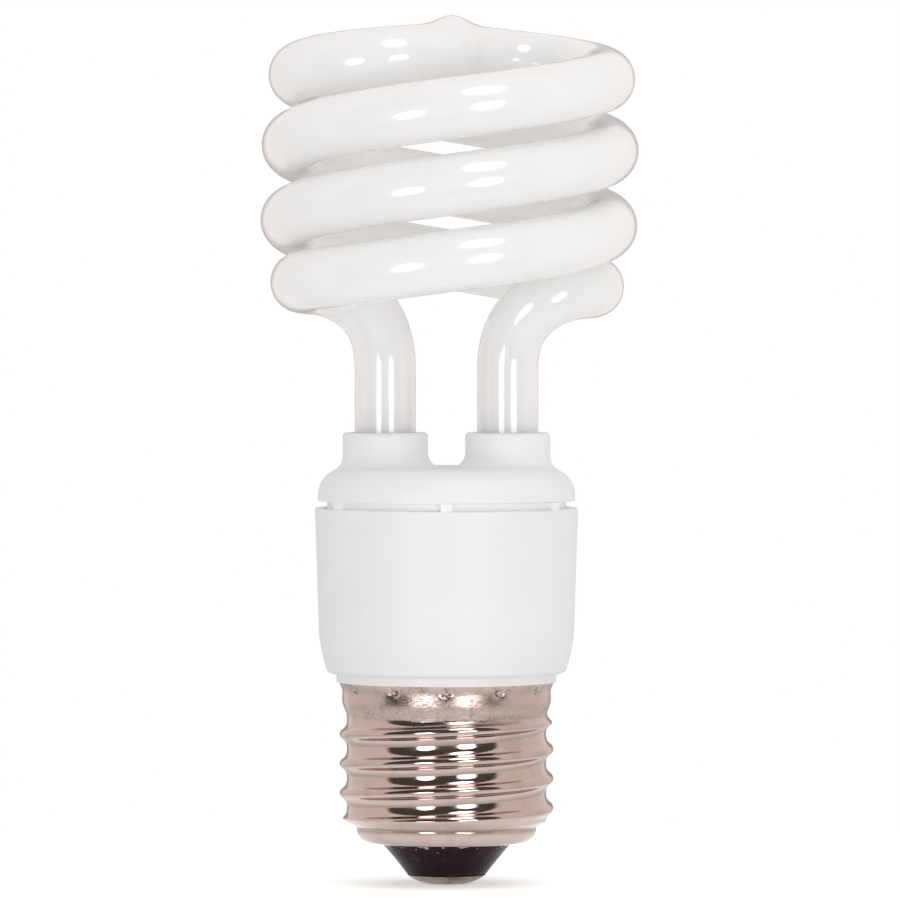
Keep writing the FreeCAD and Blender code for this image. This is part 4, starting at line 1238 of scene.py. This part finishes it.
@dataclass
class Studio:
    """White floor, soft boxes and the camera at the photograph's place.

    Metal and glass mirror a dark room round the camera and a dark flag behind the lamp, whose edges are given
    here in degrees, and the room's top as the height of a direction. The floor is small, so that the upright
    wall of the cap mirrors the room past it.
    """

    target: Vector
    boxes: tuple[SoftBox, ...] = (
        SoftBox("soft_box_right", azimuth=23, elevation=-3, width=0.36, height=0.5, brightness=2.05),
        SoftBox("soft_box_left", azimuth=-24, elevation=-5, width=0.35, height=0.47, brightness=1.95),
        SoftBox("soft_box_above", azimuth=19, elevation=53, width=0.38, height=0.56, brightness=1.45),
    )
    fill: float = 0.76
    fill_lean: float = 0.05
    fill_tone: str = "FFFEFD"
    white_tone: str = "FFFFFF"
    mirror_tone: str = "FFF3EE"
    dark_tone: str = "58504D"
    room_aside: float = 6.0
    room_edge: Span = (70.0, 62.0)
    room_top: Span = (0.97, 0.92)
    flag_outside: Span = (26.0, 18.0)
    flag_inside: Span = (2.0, 4.0)
    flag_depth: float = 0.62
    floor_tone: str = "F9F9F8"
    floor_radius: float = 0.11
    floor_sides: int = 128
    floor_glow: float = 0.4
    floor_fade: Span = (0.01, 0.07)
    # Painted light: glow near the lamp that only mirroring rays see, over the floor's shadow
    painted_mirror_fill: float = 0.48
    painted_fill_fade: Span = (0.015, 0.06)
    bounces: int = 14
    sensor_mm: float = 36.0
    focal_mm: float = 360.1
    camera_clip: Span = (0.05, 20.0)
    camera_distance: float = 1.1079
    camera_height: float = 0.0824
    aim: tuple[float, float] = (0.00043, 0.05346)

    def build(self) -> None:
        """Set up the light, the floor and the camera."""
        deselect()
        for box in self.boxes:
            box.build(self.target)
        self.world()
        self.floor()
        self.camera()
        scene = bpy.context.scene
        scene.cycles.max_bounces, scene.cycles.diffuse_bounces = self.bounces, self.bounces
        scene.view_settings.view_transform = "Standard"

    def rays(self, tree: bpy.types.NodeTree) -> tuple[bpy.types.NodeSocket, bpy.types.NodeSocket]:
        """Tell the camera's own rays, and those that metal and glass send on.

        Args:
            tree: node tree that asks.

        Returns:
            An output that is 1 for the first kind, and one for the second.
        """
        ray = add_node(tree, "LightPath")
        shiny = add_node(tree, "Math", {
            0: ray["Is Glossy Ray"], 1: ray["Is Transmission Ray"],
        }, operation="MAXIMUM")[0]
        return ray["Is Camera Ray"], shiny

    def world(self) -> None:
        """White surroundings with the dark room behind the camera, and an even fill."""
        world = bpy.data.worlds.new("studio")
        bpy.context.scene.world = world
        world.use_nodes = True
        tree = world.node_tree
        tree.nodes.clear()
        way = add_node(tree, "TexCoord")["Generated"]
        parts = add_node(tree, "SeparateXYZ", {0: way})
        front = add_node(tree, "Math", {0: parts["Y"], 1: -1.0}, operation="MULTIPLY")[0]
        side = add_node(tree, "Math", {0: parts["X"], 1: front}, operation="ARCTAN2")[0]
        middle = add_node(tree, "Math", {0: side, 1: math.radians(self.room_aside)}, operation="ADD")[0]
        off = add_node(tree, "Math", {0: middle}, operation="ABSOLUTE")[0]
        edge = [math.radians(angle) for angle in self.room_edge]
        outside = [math.cos(math.radians(angle)) for angle in self.flag_outside]
        inside = [math.cos(math.radians(angle)) for angle in self.flag_inside]
        across, up, flag_near, flag_far = (
            add_node(tree, "MapRange", {
                "Value": value, "From Min": first, "From Max": last, "To Max": depth,
            }, **SMOOTH)[0]
            for value, (first, last), depth in (
                (off, edge, 1.0), (parts["Z"], self.room_top, 1.0),
                (parts["Y"], outside, 1.0), (parts["Y"], inside, self.flag_depth),
            )
        )
        room = add_node(tree, "Math", {0: across, 1: up}, operation="MULTIPLY")[0]
        flag = add_node(tree, "Math", {0: flag_near, 1: flag_far}, operation="MULTIPLY")[0]
        dark = add_node(tree, "Math", {0: room, 1: flag}, operation="MAXIMUM")[0]
        seen = add_node(tree, "Mix", {
            0: dark, 6: linear(self.mirror_tone), 7: linear(self.dark_tone),
        }, **COLOUR)[2]
        camera, shiny = self.rays(tree)
        level = add_node(tree, "Math", {
            0: parts["X"], 1: self.fill_lean, 2: self.fill,
        }, operation="MULTIPLY_ADD")[0]
        fill, mirror, white = (
            add_node(tree, "Background", {"Color": tone, "Strength": strength})[0]
            for tone, strength in (
                (linear(self.fill_tone), level), (seen, 1.0), (linear(self.white_tone), 1.0),
            )
        )
        lit = add_node(tree, "MixShader", {0: shiny, 1: fill, 2: mirror})[0]
        whole = add_node(tree, "MixShader", {0: camera, 1: lit, 2: white})[0]
        add_node(tree, "OutputWorld", {"Surface": whole})

    def floor(self) -> None:
        """Pale floor that turns white away from the lamp and keeps its shadow, which painted glow lightens in
        reflections.
        """
        bpy.ops.mesh.primitive_circle_add(
            vertices=self.floor_sides, radius=self.floor_radius, fill_type="NGON")
        floor = bpy.context.object
        floor.name = "studio_floor"
        made = bpy.data.materials.new("matt_white_paper")
        made.use_nodes = True
        tree = made.node_tree
        tree.nodes.clear()
        place = add_node(tree, "TexCoord")["Object"]
        away = add_node(tree, "VectorMath", {0: place}, operation="LENGTH")["Value"]
        camera, shiny = self.rays(tree)
        glow, near = (
            add_node(tree, "MapRange", {
                "Value": away, "From Min": first, "From Max": last, "To Min": inner, "To Max": outer,
            }, **SMOOTH)[0]
            for (first, last), inner, outer in (
                (self.floor_fade, self.floor_glow, 1.0), (self.painted_fill_fade, self.painted_mirror_fill, 0.0),
            )
        )
        plain = add_node(tree, "Math", {0: camera, 1: glow}, operation="MULTIPLY")[0]
        # Painted light: a pool of glow near the lamp, seen only in metal and glass, that lightens its shadow
        # there
        mirrored = add_node(tree, "Math", {0: shiny, 1: near}, operation="MULTIPLY")[0]
        strength = add_node(tree, "Math", {0: plain, 1: mirrored}, operation="MAXIMUM")[0]
        matt = add_node(tree, "BsdfDiffuse", {"Color": linear(self.floor_tone)})[0]
        shine = add_node(tree, "Emission", {"Color": linear(self.white_tone), "Strength": strength})[0]
        both = add_node(tree, "AddShader", {0: matt, 1: shine})[0]
        add_node(tree, "OutputMaterial", {"Surface": both})
        floor.data.materials.append(made)
        floor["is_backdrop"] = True

    def camera(self) -> None:
        """Camera at the photograph's angle, far off with a long lens."""
        aim = Vector((self.aim[0], 0, self.aim[1]))
        spot = Vector((self.aim[0], -self.camera_distance, self.camera_height))
        bpy.ops.object.camera_add(location=spot)
        camera = bpy.context.object
        camera.name = "photo_camera"
        camera.rotation_euler = (spot - aim).to_track_quat("Z", "Y").to_euler()
        camera.data.sensor_width = self.sensor_mm
        camera.data.lens = self.focal_mm
        camera.data.clip_start, camera.data.clip_end = self.camera_clip
        bpy.context.scene.camera = camera


def main() -> None:
    """Build the lamp's pieces in order, then the studio."""
    logging.basicConfig(level=logging.INFO, format="%(name)s: %(message)s")
    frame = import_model()
    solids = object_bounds()
    nodes = frame["nodes"]
    tube_low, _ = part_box("spiral_tube")
    _, cover_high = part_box("top_cover")
    shell_low, shell_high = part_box("screw_shell")
    GlassCoil(lip_z=cover_high.z / MM, foot_z=tube_low.z / MM).build()
    ScrewShell(foot_z=shell_low.z / MM, rim_z=shell_high.z / MM).build()
    foot = CapFoot(shell_z=shell_low.z / MM)
    foot.glass_foot()
    foot.contact()
    PlasticBody().dress(nodes)
    Ballast().dress(nodes)
    Studio(target=(solids[0] + solids[1]) / 2).build()


if __name__ == "__main__":
    main()
